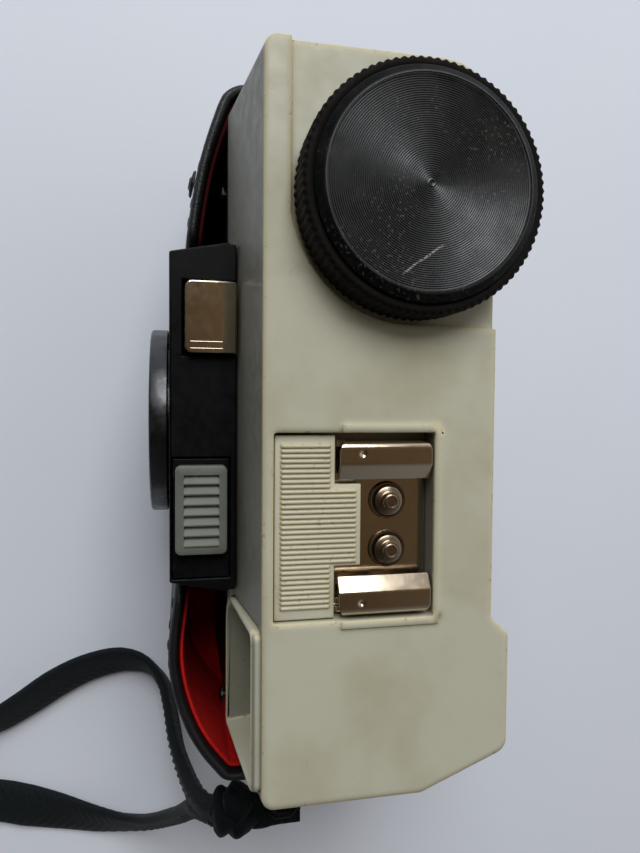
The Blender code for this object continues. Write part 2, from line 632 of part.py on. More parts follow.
def block_outline(margin, back_y):
    """Plan of the lens block, moved in by a margin: its ends taper towards the front."""
    back = BLOCK_HALF_BACK - margin
    front = BLOCK_HALF_FRONT - margin
    return [(BLOCK_X - front, BLOCK_FRONT + margin), (BLOCK_X + front, BLOCK_FRONT + margin),
            (BLOCK_X + back, back_y), (BLOCK_X - back, back_y)]


def build_lens_block():
    """Hollow black housing against the leaning wall, with the button's and the switch's slots."""
    back = front_wall(SPLIT) - GAP
    block = slab("lens_block", [block_outline(0.0, back)], BLOCK_LOW, BLOCK_HIGH, "black_plastic")
    wedge = [(back - 0.5, SPLIT + 0.5), (back, SPLIT + 0.5), (front_wall(BLOCK_HIGH) - GAP, BLOCK_HIGH),
             (back - 0.5, BLOCK_HIGH)]
    join(block, prism("block_wedge", [wedge], 2 * BLOCK_HALF_BACK - 0.5, (BLOCK_X, 0.0, 0.0), None, "YZ"))
    room = slab("block_room", [block_outline(BLOCK_WALL, 2.0)], BLOCK_LOW + BLOCK_WALL, BLOCK_HIGH - BLOCK_ROOF)
    lens_hole = cylinder("block_lens_hole", 12.3, 5, 15, (LENS_X, 0.0, LENS_Z), facing="-Y", steps=48)
    button_slot = box("button_slot", (BUTTON[0] - GAP, BUTTON[1] + GAP), (BUTTON[2] - GAP, 1.0),
                      (BLOCK_HIGH - BLOCK_ROOF - 1, BLOCK_HIGH + 1))
    panel_seat = box("panel_seat", (PANEL[0] - 0.15, PANEL[1] + 0.15), (PANEL[2] - 0.15, PANEL[3] + 0.15),
                     (BLOCK_HIGH - 1.2, BLOCK_HIGH + 1))
    slot = box("switch_slot", SWITCH_SLOT[:2], SWITCH_SLOT[2:], (BLOCK_HIGH - 5, BLOCK_HIGH + 2))
    cut(block, room, lens_hole, button_slot, panel_seat, slot)
    panel = box("switch_panel", PANEL[:2], PANEL[2:], (BLOCK_HIGH - 1.0, BLOCK_HIGH + 0.1), "black_plastic")
    cut(panel, slot)


def build_controls():
    """Shutter button on its stem and spring, and the sliding switch."""
    button = box("shutter_button", BUTTON[:2], BUTTON[2:], (BUTTON_LOW, BUTTON_HIGH), "nickel")
    stem = cylinder("button_stem", 1.2, 36.4, BUTTON_LOW + 1, (STEM_X, STEM_Y, 0.0), steps=20)
    soften(join(button, stem), 0.5)
    turns, radius, low, high = 4, 2.0, 38.9, BUTTON_LOW - 0.7
    coil = bpy.data.curves.new("button_spring", "CURVE")
    coil.dimensions = "3D"
    coil.bevel_depth = 0.25 * MM
    coil.bevel_resolution = 2
    coil.use_fill_caps = True
    spline = coil.splines.new("POLY")
    count = turns * 8
    spline.points.add(count)
    for k in range(count + 1):
        turn = 2 * math.pi * k / 8
        spline.points[k].co = (radius * math.cos(turn) * MM, radius * math.sin(turn) * MM,
                               (low + (high - low) * k / count) * MM, 1.0)
    spring = bpy.data.objects.new("button_spring", coil)
    spring.location = Vector((STEM_X, STEM_Y, 0.0)) * MM
    PARTS.objects.link(spring)
    finish(spring, "steel")
    bracket = box("button_bracket", (-22.5, -12.6), (-8.2, -3.6), (37.3, 38.3), "steel")
    cut(bracket, cylinder("bracket_hole", 1.5, 36, 40, (STEM_X, STEM_Y, 0.0), steps=20))
    switch = box("slide_switch", SWITCH[:2], SWITCH[2:], (BLOCK_HIGH + 0.4, BLOCK_HIGH + 1.9), "grey_plastic")
    foot = box("switch_foot", (SWITCH_SLOT[0] + 0.4, SWITCH_SLOT[0] + 5.0),
               (SWITCH_SLOT[2] + 0.4, SWITCH_SLOT[3] - 0.4), (BLOCK_HIGH - 3.4, BLOCK_HIGH + 1))
    join(switch, foot)
    for k in range(7):
        x = SWITCH[0] + 1.7 + k * 1.5
        join(switch, box(f"switch_rib_{k}", (x - 0.3, x + 0.3), (SWITCH[2] + 1.0, SWITCH[3] - 1.0),
                         (BLOCK_HIGH + 1.5, BLOCK_HIGH + 2.25)))


def build_lens():
    """Lens rings, barrels and glasses on the lens axis, heights counted forwards from Y = 0."""
    axis = (LENS_X, 0.0, LENS_Z)
    knurl = knurled(15.1, 14.8, 60)
    prism("focus_ring", [knurl, circle(12.5, 36)], 2.7, (LENS_X, -13.15, LENS_Z), "black_metal", "XZ")
    iris = knurled(12.1, 11.8, 30)
    prism("aperture_ring", [iris, circle(9.4, 30)], 0.8, (LENS_X, -14.2, LENS_Z), "nickel", "XZ")
    ring("front_barrel", 12.0, 9.1, 9.5, 13.5, axis, "black_metal", "-Y", 36)
    retaining = ((6.4, 13.4), (8.7, 14.6), (8.8, 14.6), (8.8, 11.6), (5.2, 11.6), (5.2, 12.2), (6.4, 12.2))
    turned("retaining_ring", retaining, axis, "black_metal", "-Y", 32, True)
    front = [(6.1 * math.sin(t), 12.5 + 1.3 * math.cos(t)) for t in
             [math.pi / 2 * k / 4 for k in range(5)]]
    smooth(turned("front_element", [*front, (0.0, 12.5)], axis, "glass", "-Y", 24))
    ring("rear_barrel", 9.1, 6.6, -1.8, 6.6, axis, "black_metal", "-Y", 32)
    rear = ((0.0, 1.4), (6.3, 0.6), (6.3, -0.4), (0.0, -1.4))
    smooth(turned("rear_element", rear, axis, "glass", "-Y", 24))


def build_shutter():
    """Shutter plate with two pivot pins and the two blades that meet over its hole."""
    plate = [rectangle(-13.5, 13.5, -13.0, 13.0, 3.0), circle(4.5, 32)]
    shutter = prism("shutter_plate", plate, 0.5, (LENS_X, SHUTTER_Y, LENS_Z), "black_metal", "XZ")
    for side, x in (("a", -BLADE_PIVOT[0]), ("b", BLADE_PIVOT[0])):
        pin = cylinder(f"blade_pin_{side}", 0.8, -SHUTTER_Y - 1.9, -SHUTTER_Y,
                       (LENS_X + x, 0.0, LENS_Z + BLADE_PIVOT[1]), facing="-Y", steps=16)
        join(shutter, pin)
    for side, sign, y in (("a", -1, SHUTTER_Y + 0.85), ("b", 1, SHUTTER_Y + 1.55)):
        paddle = [(1.0, -5.8), (1.0, 5.8), (-1.2, 6.0), (-7.6, 10.8), (-10.6, 10.6), (-10.9, 8.0),
                  (-6.0, 2.6), (-6.4, -1.0), (-4.4, -4.8)]
        offset = [(-sign * x - sign * BLADE_PIVOT[0], z - BLADE_PIVOT[1]) for x, z in paddle]
        hole = circle(1.1, 16)
        prism(f"shutter_blade_{side}", [offset, hole], BLADE_SHEET,
              (LENS_X + sign * BLADE_PIVOT[0], y, LENS_Z + BLADE_PIVOT[1]), "black_metal", "XZ")


# ---------------------------------------------------------------------------------- finder

def build_finder():
    """Funnel-shaped hood, front window, tube, eyepiece and its frame, from front to back."""
    def hood_loop(margin, low_proud, high_proud):
        low, high = HOOD[2:]
        return [(x, front_wall(z) - low_proud - (high_proud - low_proud) * (z - low) / (high - low), z)
                for x, z in hood_outline(margin)]

    def window_loop(margin):
        x0, x1, z0, z1 = WINDOW
        corners = inset([(x, z, 0.4) for x, z in ((x0, z0), (x1, z0), (x1, z1), (x0, z1))], -margin)
        return [(x, WINDOW_Y, z) for x, z in rounded(corners, HOOD_STEPS)]
    sleeve("finder_hood", (hood_loop(0.0, *HOOD_PROUD), hood_loop(0.0, -2.0, -2.0), window_loop(HOOD_WALL),
                           window_loop(0.0), hood_loop(HOOD_WALL, -0.2, -0.2),
                           hood_loop(HOOD_WALL, *HOOD_PROUD)), "putty")
    x0, x1, z0, z1 = WINDOW
    box("finder_window", (x0 - 0.6, x1 + 0.6), (WINDOW_Y + GAP, WINDOW_Y + 1.3), (z0 - 0.6, z1 + 0.6), "glass")
    outer = rectangle(x0 - 0.7, x1 + 0.7, z0 - 0.7, z1 + 0.7)
    bore = rectangle(x0, x1, z0, z1)
    start, end = WINDOW_Y + 1.6, 27.6
    prism("finder_tube", [outer, bore], end - start, (0.0, (start + end) / 2, 0.0), "black_plastic", "XZ")
    eye_outer = rectangle(x0 - 0.5, x1 + 0.5, z0 - 0.5, z1 + 0.5, 0.8)
    eye_bore = rectangle(x0 + 0.8, x1 - 0.8, z0 + 0.8, z1 - 0.8, 0.8)
    prism("eyepiece_frame", [eye_outer, eye_bore], 5.4, (0.0, 30.6 + GAP, 0.0), "black_plastic", "XZ")
    box("finder_eyepiece", (x0 + 1.1, x1 - 1.1), (30.4, 31.8), (z0 + 1.1, z1 - 1.1), "glass")


# ---------------------------------------------------------------------------------- half-case

def build_half_case():
    """Leather half-case with its lining, notched at the front for the lens block."""
    shell = slab("half_case_shell", [rounded(CASE_CORNERS, 6)], 0.0, CASE_RIM, "leather")
    inner = rounded(inset(CASE_CORNERS, CASE_LEATHER), 6)
    room = slab("case_room", [inner], CASE_BOTTOM - LINING - 0.2, CASE_RIM + 1)
    notch = box("case_notch", CASE_NOTCH, (-20.0, -4.0), (NOTCH_LOW, CASE_RIM + 1))
    head_seat = cylinder("screw_head_seat", 8.6, -1.0, 2.4 - GAP, (TRIPOD_X, TRIPOD_Y, 0.0))
    screw_hole = cylinder("screw_hole", 3.4, 0.0, 6.0, (TRIPOD_X, TRIPOD_Y, 0.0))
    cut(shell, room, notch, head_seat, screw_hole)
    skin = slab("half_case_lining", [rounded(inset(CASE_CORNERS, CASE_LEATHER + 0.1), 6)],
                CASE_BOTTOM - LINING, CASE_RIM - 0.2, "red_lining")
    hollow = rounded(inset(CASE_CORNERS, CASE_LEATHER + 0.1 + LINING), 6)
    cut(skin, slab("lining_room", [hollow], CASE_BOTTOM, CASE_RIM + 1), notch, screw_hole)
    screw = ((0.0, 10.4), (2.9, 10.4), (2.9, 1.9), (8.2, 1.9), (8.2, 0.2), (0.0, 0.2))
    head = turned("case_screw", screw, (TRIPOD_X, TRIPOD_Y, 0.0), "steel", steps=32)
    cut(head, box("coin_slot", (TRIPOD_X - 6, TRIPOD_X + 6), (TRIPOD_Y - 0.8, TRIPOD_Y + 0.8), (-1.0, 1.0)))
    stud = ((0.0, 0.8), (0.9, 0.75), (1.2, 0.5), (2.0, 0.4), (2.2, 0.15), (2.2, 0.0), (0.0, 0.0))
    snap = smooth(turned("case_snap_stud", stud, SNAP, "steel", "-Y", 18))
    snap.rotation_euler.z = math.radians(SNAP_TURN)


def smooth_route(points, step):
    """Evenly close points on a smooth curve through the given ones (Catmull-Rom)."""
    knots = [Vector(p) for p in points]
    knots = [knots[0] * 2 - knots[1], *knots, knots[-1] * 2 - knots[-2]]
    route = []
    for a, b, c, d in zip(knots, knots[1:], knots[2:], knots[3:]):
        pieces = max(1, round((c - b).length / step))
        for k in range(pieces):
            t = k / pieces
            route.append(0.5 * (2 * b + (c - a) * t + (2 * a - 5 * b + 4 * c - d) * t ** 2
                                + (3 * b - a - 3 * c + d) * t ** 3))
    return [*route, knots[-2]]


def build_strap():
    """Wire loop on the case's end, the knot that ties the lace to it, and the lace itself."""
    end = CASE_CORNERS[-1][0]
    loop = bpy.data.curves.new("strap_lug", "CURVE")
    loop.dimensions = "3D"
    loop.bevel_depth = 0.8 * MM
    loop.bevel_resolution = 2
    loop.use_fill_caps = True
    spline = loop.splines.new("POLY")
    low, high = LUG_Y
    far = end + LUG_REACH
    bends = [(end + GAP, low, LUG_Z), (far - 1.0, low, LUG_Z), (far, low + 1.0, LUG_Z),
             (far, high - 1.0, LUG_Z), (far - 1.0, high, LUG_Z), (end + GAP, high, LUG_Z)]
    spline.points.add(len(bends) - 1)
    for point, corner in zip(spline.points, bends):
        point.co = (*(Vector(corner) * MM), 1.0)
    lug = bpy.data.objects.new("strap_lug", loop)
    PARTS.objects.link(lug)
    finish(lug, "steel")
    build_lace()


def build_lace():
    """Plain tube along the lace's route, and the knot that gathers its two ends."""
    lace = bpy.data.curves.new("strap", "CURVE")
    lace.dimensions = "3D"
    lace.bevel_depth = STRAP_TUBE * MM
    lace.bevel_resolution = 2
    lace.use_fill_caps = True
    route = smooth_route(STRAP_ROUTE, STRAP_STEP)
    spline = lace.splines.new("POLY")
    spline.points.add(len(route) - 1)
    for point, place_mm in zip(spline.points, route):
        point.co = (*(place_mm * MM), 1.0)
    strap = bpy.data.objects.new("strap", lace)
    PARTS.objects.link(strap)
    finish(strap, "lace")
    ball = bmesh.new()
    bmesh.ops.create_uvsphere(ball, u_segments=14, v_segments=8, radius=MM,
                              matrix=Matrix.Diagonal((*KNOT_RADII, 1.0)))
    mesh = bpy.data.meshes.new("strap_knot")
    ball.to_mesh(mesh)
    ball.free()
    knot = place("strap_knot", mesh, KNOT, "lace")
    neck = prism("knot_neck", [circle(1.7, 16)], 3.8, (KNOT[0] - 0.6, 1.5, KNOT[2] + 1.2), None, "XZ")
    join(knot, neck)


build_top_cover()
build_lower_body()
build_base_and_back()
build_wheel()
build_sprocket()
build_rewind()
build_film_path()
build_shoe()
build_lens_block()
build_controls()
build_lens()
build_shutter()
build_finder()
build_half_case()
build_strap()
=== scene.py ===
"""Looks of the compact film camera in its half-case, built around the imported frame.

Lengths are millimetres in the frame's own axes until a mesh is made, where MM turns them into metres.
"""
import math

import bmesh
import bpy
from mathutils import Matrix, Vector, noise


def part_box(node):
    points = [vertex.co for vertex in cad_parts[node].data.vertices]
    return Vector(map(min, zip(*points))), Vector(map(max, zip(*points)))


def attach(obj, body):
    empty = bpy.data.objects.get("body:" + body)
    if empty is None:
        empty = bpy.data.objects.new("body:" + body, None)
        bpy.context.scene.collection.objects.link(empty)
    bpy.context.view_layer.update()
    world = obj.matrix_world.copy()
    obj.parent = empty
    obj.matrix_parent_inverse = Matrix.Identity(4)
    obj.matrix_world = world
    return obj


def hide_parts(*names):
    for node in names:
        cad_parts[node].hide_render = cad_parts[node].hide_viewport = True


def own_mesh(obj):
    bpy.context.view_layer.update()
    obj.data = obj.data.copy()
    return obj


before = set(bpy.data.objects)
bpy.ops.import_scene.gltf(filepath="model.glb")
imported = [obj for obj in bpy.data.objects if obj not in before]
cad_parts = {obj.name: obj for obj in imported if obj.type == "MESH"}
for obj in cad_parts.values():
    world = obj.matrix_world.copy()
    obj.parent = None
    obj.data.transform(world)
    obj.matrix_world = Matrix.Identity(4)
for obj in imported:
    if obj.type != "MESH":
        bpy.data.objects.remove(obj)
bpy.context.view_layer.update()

MM = 0.001


def limits(node):
    """Lowest and highest corners of a CAD node, in millimetres."""
    low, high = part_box(node)
    return low / MM, high / MM


def middle(node):
    low, high = limits(node)
    return (low + high) / 2


# ---------------- shader nodes

class Nodes:
    """Short chains of shader nodes in one node tree."""

    def __init__(self, tree):
        self.tree = tree

    def add(self, kind, inputs=(), **settings):
        node = self.tree.nodes.new("ShaderNode" + kind)
        for key, value in settings.items():
            setattr(node, key, value)
        for key, value in dict(inputs).items():
            self.feed(node.inputs[key], value)
        return node

    def feed(self, socket, value):
        if isinstance(value, bpy.types.NodeSocket):
            self.tree.links.new(value, socket)
        else:
            socket.default_value = value

    def ramp(self, value, low, high, start=0.0, end=1.0):
        """Smooth step from the start to the end value as the value goes from low to high."""
        inputs = {"Value": value, "From Min": low, "From Max": high, "To Min": start, "To Max": end}
        return self.add("MapRange", inputs, interpolation_type="SMOOTHSTEP").outputs[0]

    def sums(self, operation, first, second=0.0):
        return self.add("Math", {0: first, 1: second}, operation=operation).outputs[0]

    def both(self, first, second):
        return self.sums("MULTIPLY", first, second)

    def vectors(self, operation, first, *others):
        return self.add("VectorMath", enumerate((first, *others)), operation=operation).outputs


# ---------------- camera and light

CAMERA_AT = (-3.59, -9.76, 141.87)
CAMERA_TURN = (-2.281, -11.858, 90.43)
CAMERA_LENS = 27.855


def build_camera():
    data = bpy.data.cameras.new("camera")
    data.lens = CAMERA_LENS
    data.sensor_width = 36.0
    data.clip_start = 0.01
    obj = bpy.data.objects.new("camera", data)
    obj.location = Vector(CAMERA_AT) * MM
    obj.rotation_euler = [math.radians(angle) for angle in CAMERA_TURN]
    bpy.context.scene.collection.objects.link(obj)
    bpy.context.scene.camera = obj


WINDOW_AT = (-440.0, -5.0, 560.0)
WINDOW_AIM = (0.0, 0.0, 30.0)
WINDOW_SIZE = (420.0, 420.0)
WINDOW_POWER = 3.6
WINDOW_COLOUR = (0.93, 0.965, 1.0)
WINDOW_SIDE = (-0.66, 0.75, 0.0)
ROOM_LIGHT = 0.505
ROOM_WALLS = (0.66, 0.68, 0.72, 1.0)
ROOM_CEILING = (0.155, 0.108, 0.064, 1.0)


def build_window():
    data = bpy.data.lights.new("window", "AREA")
    data.shape = "RECTANGLE"
    data.size, data.size_y = WINDOW_SIZE[0] * MM, WINDOW_SIZE[1] * MM
    data.energy = WINDOW_POWER
    data.color = WINDOW_COLOUR
    obj = bpy.data.objects.new("window", data)
    obj.location = Vector(WINDOW_AT) * MM
    obj.rotation_euler = (Vector(WINDOW_AIM) - Vector(WINDOW_AT)).to_track_quat("-Z", "Y").to_euler()
    bpy.context.scene.collection.objects.link(obj)


def build_world():
    """Room light: bright low down on the window's side, dark and brown overhead."""
    world = bpy.data.worlds.new("room")
    world.use_nodes = True
    room = Nodes(world.node_tree)
    where = room.add("TexCoord").outputs["Generated"]
    fade = room.add("ValToRGB", {0: room.add("SeparateXYZ", {0: where}).outputs["Z"]})
    for stop, position, colour in zip(fade.color_ramp.elements, (0.40, 0.92), (ROOM_WALLS, ROOM_CEILING)):
        stop.position = position
        stop.color = colour
    side = room.ramp(room.vectors("DOT_PRODUCT", where, WINDOW_SIDE)["Value"], -0.75, 0.95, 0.28, 2.3)
    back = room.tree.nodes["Background"]
    room.feed(back.inputs["Color"], fade.outputs[0])
    room.feed(back.inputs["Strength"], room.both(side, ROOM_LIGHT))
    bpy.context.scene.world = world


def build_stage():
    build_camera()
    build_window()
    build_world()
    bpy.context.scene.view_settings.view_transform = "Standard"


# ---------------- materials

NOISE_ROUGHNESS = 0.55


class Look(Nodes):
    """A Principled material whose sockets are fed by chains of nodes."""

    def __init__(self, name, colour, roughness, metallic=0.0, **sockets):
        self.material = bpy.data.materials.new(name)
        self.material.use_nodes = True
        super().__init__(self.material.node_tree)
        self.shader = self.tree.nodes["Principled BSDF"]
        self.shader.inputs["Base Color"].default_value = (*colour, 1.0)
        self.shader.inputs["Roughness"].default_value = roughness
        self.shader.inputs["Metallic"].default_value = metallic
        for socket, value in sockets.items():
            self.shader.inputs[socket.replace("_", " ")].default_value = value
        self.place = self.add("TexCoord").outputs["Object"]

    def stretched(self, scale, turn=(0.0, 0.0, 0.0)):
        inputs = {"Vector": self.place, "Scale": scale, "Rotation": turn}
        return self.add("Mapping", inputs).outputs[0]

    def noise(self, size, detail=3.0, vector=None):
        """Noise from 0 to 1 with patches of about that size in millimetres."""
        inputs = {"Vector": vector or self.place, "Scale": 1.0 / (size * MM), "Detail": detail,
                  "Roughness": NOISE_ROUGHNESS}
        return self.add("TexNoise", inputs).outputs["Fac"]

    def cells(self, size):
        """Distance to the nearest border in a net of cells of about that size."""
        inputs = {"Vector": self.place, "Scale": 1.0 / (size * MM)}
        return self.add("TexVoronoi", inputs, feature="DISTANCE_TO_EDGE").outputs["Distance"]

    def patches(self, size, detail, low, high, start=0.0, end=1.0):
        """Noise as patches: the start value below low, the end value above high."""
        return self.ramp(self.noise(size, detail), low, high, start, end)

    def mix(self, share, first, second):
        colours = [c if isinstance(c, bpy.types.NodeSocket) else (*c, 1.0)[:4] for c in (first, second)]
        inputs = {0: share, 6: colours[0], 7: colours[1]}
        return self.add("Mix", inputs, data_type="RGBA").outputs[2]

    def edges(self, width):
        """About 1 on edges and corners and 0 on flat faces."""
        rounded = self.add("Bevel", {"Radius": width * MM}, samples=6).outputs[0]
        flat = self.add("NewGeometry").outputs["Normal"]
        same = self.vectors("DOT_PRODUCT", rounded, flat)["Value"]
        return self.ramp(same, 0.995, 0.80)

    def nooks(self, reach):
        """About 1 deep in corners and 0 in the open."""
        shade = self.add("AmbientOcclusion", {"Distance": reach * MM}, samples=6).outputs["AO"]
        return self.ramp(shade, 0.75, 0.2)

    def upward(self):
        """About 1 on faces that look up."""
        normal = self.add("NewGeometry").outputs["Normal"]
        return self.ramp(self.add("SeparateXYZ", {0: normal}).outputs["Z"], 0.4, 0.9)

    def bump(self, height, depth):
        """Relief of about that depth in millimetres."""
        below = self.shader.inputs["Normal"].links
        inputs = {"Height": height, "Distance": depth * MM, "Strength": 1.0}
        if below:
            inputs["Normal"] = below[0].from_socket
        self.feed(self.shader.inputs["Normal"], self.add("Bump", inputs).outputs[0])

    def paint(self, colour):
        self.feed(self.shader.inputs["Base Color"], colour)

    def roughen(self, value):
        self.feed(self.shader.inputs["Roughness"], value)


PUTTY = (0.525, 0.508, 0.385)
PUTTY_WARM = (0.450, 0.420, 0.295)
# A lighter putty: painted light on the ribbed plate.
PUTTY_LIT = (0.60, 0.575, 0.46)
CREAM = (0.60, 0.53, 0.33)
STAIN = (0.27, 0.205, 0.11)
# Dirt for specks, and painted shade for corners.
DIRT_AND_SHADE = (0.055, 0.042, 0.026)
# Painted shade for front faces.
FRONT_SHADE = (0.085, 0.09, 0.085)
# Painted shade for the slanting floor of the finder's hood.
HOOD_FLOOR_SHADE = (0.13, 0.135, 0.11)


def putty_look(name, base=PUTTY, warm=PUTTY_WARM, front=0.0, soft=0.4, deep=0.0):
    """Aged putty-coloured plastic: cloudy, creamy and chipped along its edges, with dirt and painted shade in
    its corners.
    The cream on its sloping faces is partly wear and partly a painted highlight.

    front is how much painted shade darkens its front faces, soft how round its edges look in millimetres, and
    deep how much painted shade darkens the slanting floor of the finder's hood.
    """
    look = Look(name, base, 0.42, Specular_IOR_Level=0.4)
    tone = look.mix(look.patches(17.0, 4.0, 0.42, 0.72), base, warm)
    smear = look.noise(5.0, 5.0, look.stretched((1.0, 0.35, 1.0), (0.0, 0.0, 0.5)))
    tone = look.mix(look.ramp(smear, 0.56, 0.80, 0.0, 0.22), tone, STAIN)
    rounded = look.add("Bevel", {"Radius": soft * MM}, samples=8).outputs[0]
    look.feed(look.shader.inputs["Normal"], rounded)
    normal = look.add("SeparateXYZ", {0: rounded})
    forward, up = normal.outputs["Y"], normal.outputs["Z"]
    # Painted shade: front faces darkened.
    tone = look.mix(look.ramp(forward, -0.55, -0.95, 0.0, front), tone, FRONT_SHADE)
    # Cream on sloping faces and edges: partly wear, partly a painted highlight on the rounded edges.
    slope_wear_and_highlight = look.both(look.ramp(up, 0.10, 0.40), look.ramp(up, 0.985, 0.88))
    worn = look.sums("MAXIMUM", slope_wear_and_highlight, look.edges(0.5))
    tone = look.mix(look.both(worn, 0.95), tone, CREAM)
    chips = look.patches(0.75, 4.0, 0.60, 0.70)
    tone = look.mix(look.both(look.both(worn, chips), 0.75), tone, STAIN)
    # Dirt and painted shade in corners.
    tone = look.mix(look.both(look.nooks(1.2), 0.42), tone, DIRT_AND_SHADE)
    # Painted shade: the slanting floor of the finder's hood darkened.
    if deep:
        ground = look.both(look.ramp(up, 0.5, 0.8), look.ramp(forward, -0.05, -0.20))
        tone = look.mix(look.both(ground, deep), tone, HOOD_FLOOR_SHADE)
    specks = look.patches(0.50, 1.0, 0.77, 0.82)
    tone = look.mix(look.both(specks, 0.5), tone, DIRT_AND_SHADE)
    look.paint(tone)
    look.roughen(look.patches(2.2, 4.0, 0.3, 0.7, 0.34, 0.52))
    look.bump(look.noise(0.35, 2.0), 0.012)
    look.bump(look.noise(9.0, 2.0), 0.05)
    return look.material


def black_look(name, colour, roughness, dust=0.12, grain=0.010, gloss=0.15):
    """Black plastic or lacquer with rubbed edges and a little dust on what faces up."""
    look = Look(name, colour, roughness, Specular_IOR_Level=gloss)
    pale = [0.010 + 0.9 * c for c in colour]
    grey = look.mix(look.patches(7.0, 5.0, 0.35, 0.75, 0.0, 0.22), colour, pale)
    motes = look.patches(0.30, 2.0, 0.72, 0.79)
    veil = look.patches(4.0, 6.0, 0.50, 0.80)
    cover = look.both(look.upward(), look.sums("MAXIMUM", motes, look.both(veil, 0.2)))
    grey = look.mix(look.both(cover, dust * 2.2), grey, (0.15, 0.145, 0.13))
    rub = look.both(look.edges(0.22), look.patches(1.2, 4.0, 0.50, 0.68, 0.0, 0.7))
    look.paint(look.mix(rub, grey, (0.09, 0.09, 0.085)))
    look.roughen(look.patches(1.6, 4.0, 0.3, 0.7, roughness - 0.06, roughness + 0.14))
    look.bump(look.noise(0.25, 2.0), grain)
    return look.material


WHEEL_AXIS = (-29.05, 18.8)
WHEEL_BRIGHT_TO = 12.7
WHEEL_DULL_FROM = 12.95
SCRATCH_FROM = (-18.2, 15.0)
SCRATCH_TO = (-22.2, 20.7)


def wheel_look():
    """Black anodised face with dust in its grooves, smudges and one long scratch."""
    look = Look("wheel_face_metal", (0.005, 0.006, 0.006), 0.26, 0.0, Specular_IOR_Level=0.40)
    smudge = look.patches(2.6, 6.0, 0.45, 0.80, 0.0, 0.7)
    tone = look.mix(smudge, (0.0040, 0.0045, 0.0045), (0.017, 0.016, 0.012))
    motes = look.patches(0.42, 3.0, 0.57, 0.68, 0.0, 0.9)
    gather = look.patches(6.0, 3.0, 0.46, 0.66, 0.10, 1.0)
    tone = look.mix(look.both(motes, gather), tone, (0.10, 0.095, 0.075))
    along = Vector(SCRATCH_TO) - Vector(SCRATCH_FROM)
    turn = math.atan2(along.y, along.x)
    centre = (Vector(SCRATCH_TO) + Vector(SCRATCH_FROM)) / 2
    there = look.vectors("SUBTRACT", look.place, (centre.x * MM, centre.y * MM, 0.0))[0]
    there = look.add("VectorRotate", {"Vector": there, "Angle": -turn}, rotation_type="Z_AXIS").outputs[0]
    parts = look.add("SeparateXYZ", {0: there})
    wander = look.both(look.sums("SUBTRACT", look.noise(2.0, 3.0), 0.5), 0.55 * MM)
    aside = look.sums("ABSOLUTE", look.sums("ADD", parts.outputs["Y"], wander))
    beyond = look.sums("ABSOLUTE", parts.outputs["X"])
    line = look.ramp(aside, 0.17 * MM, 0.04 * MM)
    ends = look.ramp(beyond, along.length / 2 * MM, along.length / 3 * MM)
    scratch = look.both(look.both(line, ends), look.ramp(look.noise(0.3), 0.3, 0.6))
    look.paint(look.mix(look.both(scratch, 0.8), tone, (0.42, 0.40, 0.36)))
    hub = look.vectors("SUBTRACT", look.place, (WHEEL_AXIS[0] * MM, WHEEL_AXIS[1] * MM, 0.0))[0]
    hub = look.vectors("MULTIPLY", hub, (1.0, 1.0, 0.0))[0]
    away = look.vectors("LENGTH", hub)["Value"]
    sheen = look.ramp(away, WHEEL_BRIGHT_TO * MM, WHEEL_DULL_FROM * MM, 0.45, 0.05)
    look.feed(look.shader.inputs["Specular IOR Level"], sheen)
    look.roughen(look.patches(3.0, 5.0, 0.3, 0.7, 0.26, 0.42))
    return look.material


def metal_look(name, colour, roughness, tarnish, speckle=0.5):
    """Plated metal with tarnish in clouds, pits and fine rubbing marks."""
    look = Look(name, colour, roughness, 1.0)
    cloud = look.patches(6.0, 3.0, 0.40, 0.80, 0.0, 0.22)
    tone = look.mix(cloud, colour, tarnish)
    pits = look.patches(0.35, 2.0, 0.72, 0.80, 0.0, speckle)
    tone = look.mix(pits, tone, (0.06, 0.045, 0.03))
    tone = look.mix(look.both(look.nooks(0.8), 0.7), tone, (0.05, 0.035, 0.02))
    look.paint(tone)
    look.roughen(look.patches(1.3, 5.0, 0.3, 0.75, roughness, roughness + 0.05))
    look.bump(look.noise(0.5, 3.0, look.stretched((1.0, 0.06, 1.0))), 0.002)
    return look.material


def leather_look():
    look = Look("case_leather_hide", (0.007, 0.007, 0.008), 0.42, Specular_IOR_Level=0.4)
    grain = look.cells(0.7)
    tone = look.mix(look.patches(8.0, 5.0, 0.4, 0.75, 0.0, 0.5), (0.006, 0.006, 0.007),
                    (0.016, 0.015, 0.014))
    rub = look.both(look.edges(0.6), look.patches(1.5, 4.0, 0.4, 0.7, 0.0, 0.35))
    look.paint(look.mix(rub, tone, (0.045, 0.042, 0.038)))
    look.roughen(look.patches(1.0, 4.0, 0.3, 0.7, 0.38, 0.58))
    look.bump(look.ramp(grain, 0.0, 0.22), 0.022)
    look.bump(look.noise(0.3, 3.0), 0.008)
    return look.material


# Along x, where painted shadow darkens the lining to black and where it is fully lit red.
LINING_SHADOW_TO = 16.0
LINING_LIT_FROM = 40.0


def lining_look():
    """Red felt, bright at the strap's end of the case, with painted shadow darkening it to black towards the
    wheel's end and painted shade deep in its corners.
    """
    look = Look("red_lining_felt", (0.42, 0.012, 0.010), 0.95, Specular_IOR_Level=0.1)
    worn = look.patches(5.0, 5.0, 0.35, 0.75)
    tone = look.mix(worn, (0.78, 0.020, 0.015), (0.60, 0.014, 0.012))
    fibres = look.patches(0.35, 3.0, 0.35, 0.7)
    tone = look.mix(look.both(fibres, 0.45), tone, (0.24, 0.006, 0.006))
    # Painted shadow: darker towards the wheel's end of the case.
    along = look.add("SeparateXYZ", {0: look.place}).outputs["X"]
    lit_share = look.ramp(along, LINING_SHADOW_TO * MM, LINING_LIT_FROM * MM)
    tone = look.mix(lit_share, (0.060, 0.006, 0.007), tone)
    # Painted shade deep in the corners.
    look.paint(look.mix(look.both(look.nooks(7.0), 0.6), tone, (0.02, 0.002, 0.002)))
    look.bump(look.noise(0.28, 4.0), 0.09)
    return look.material


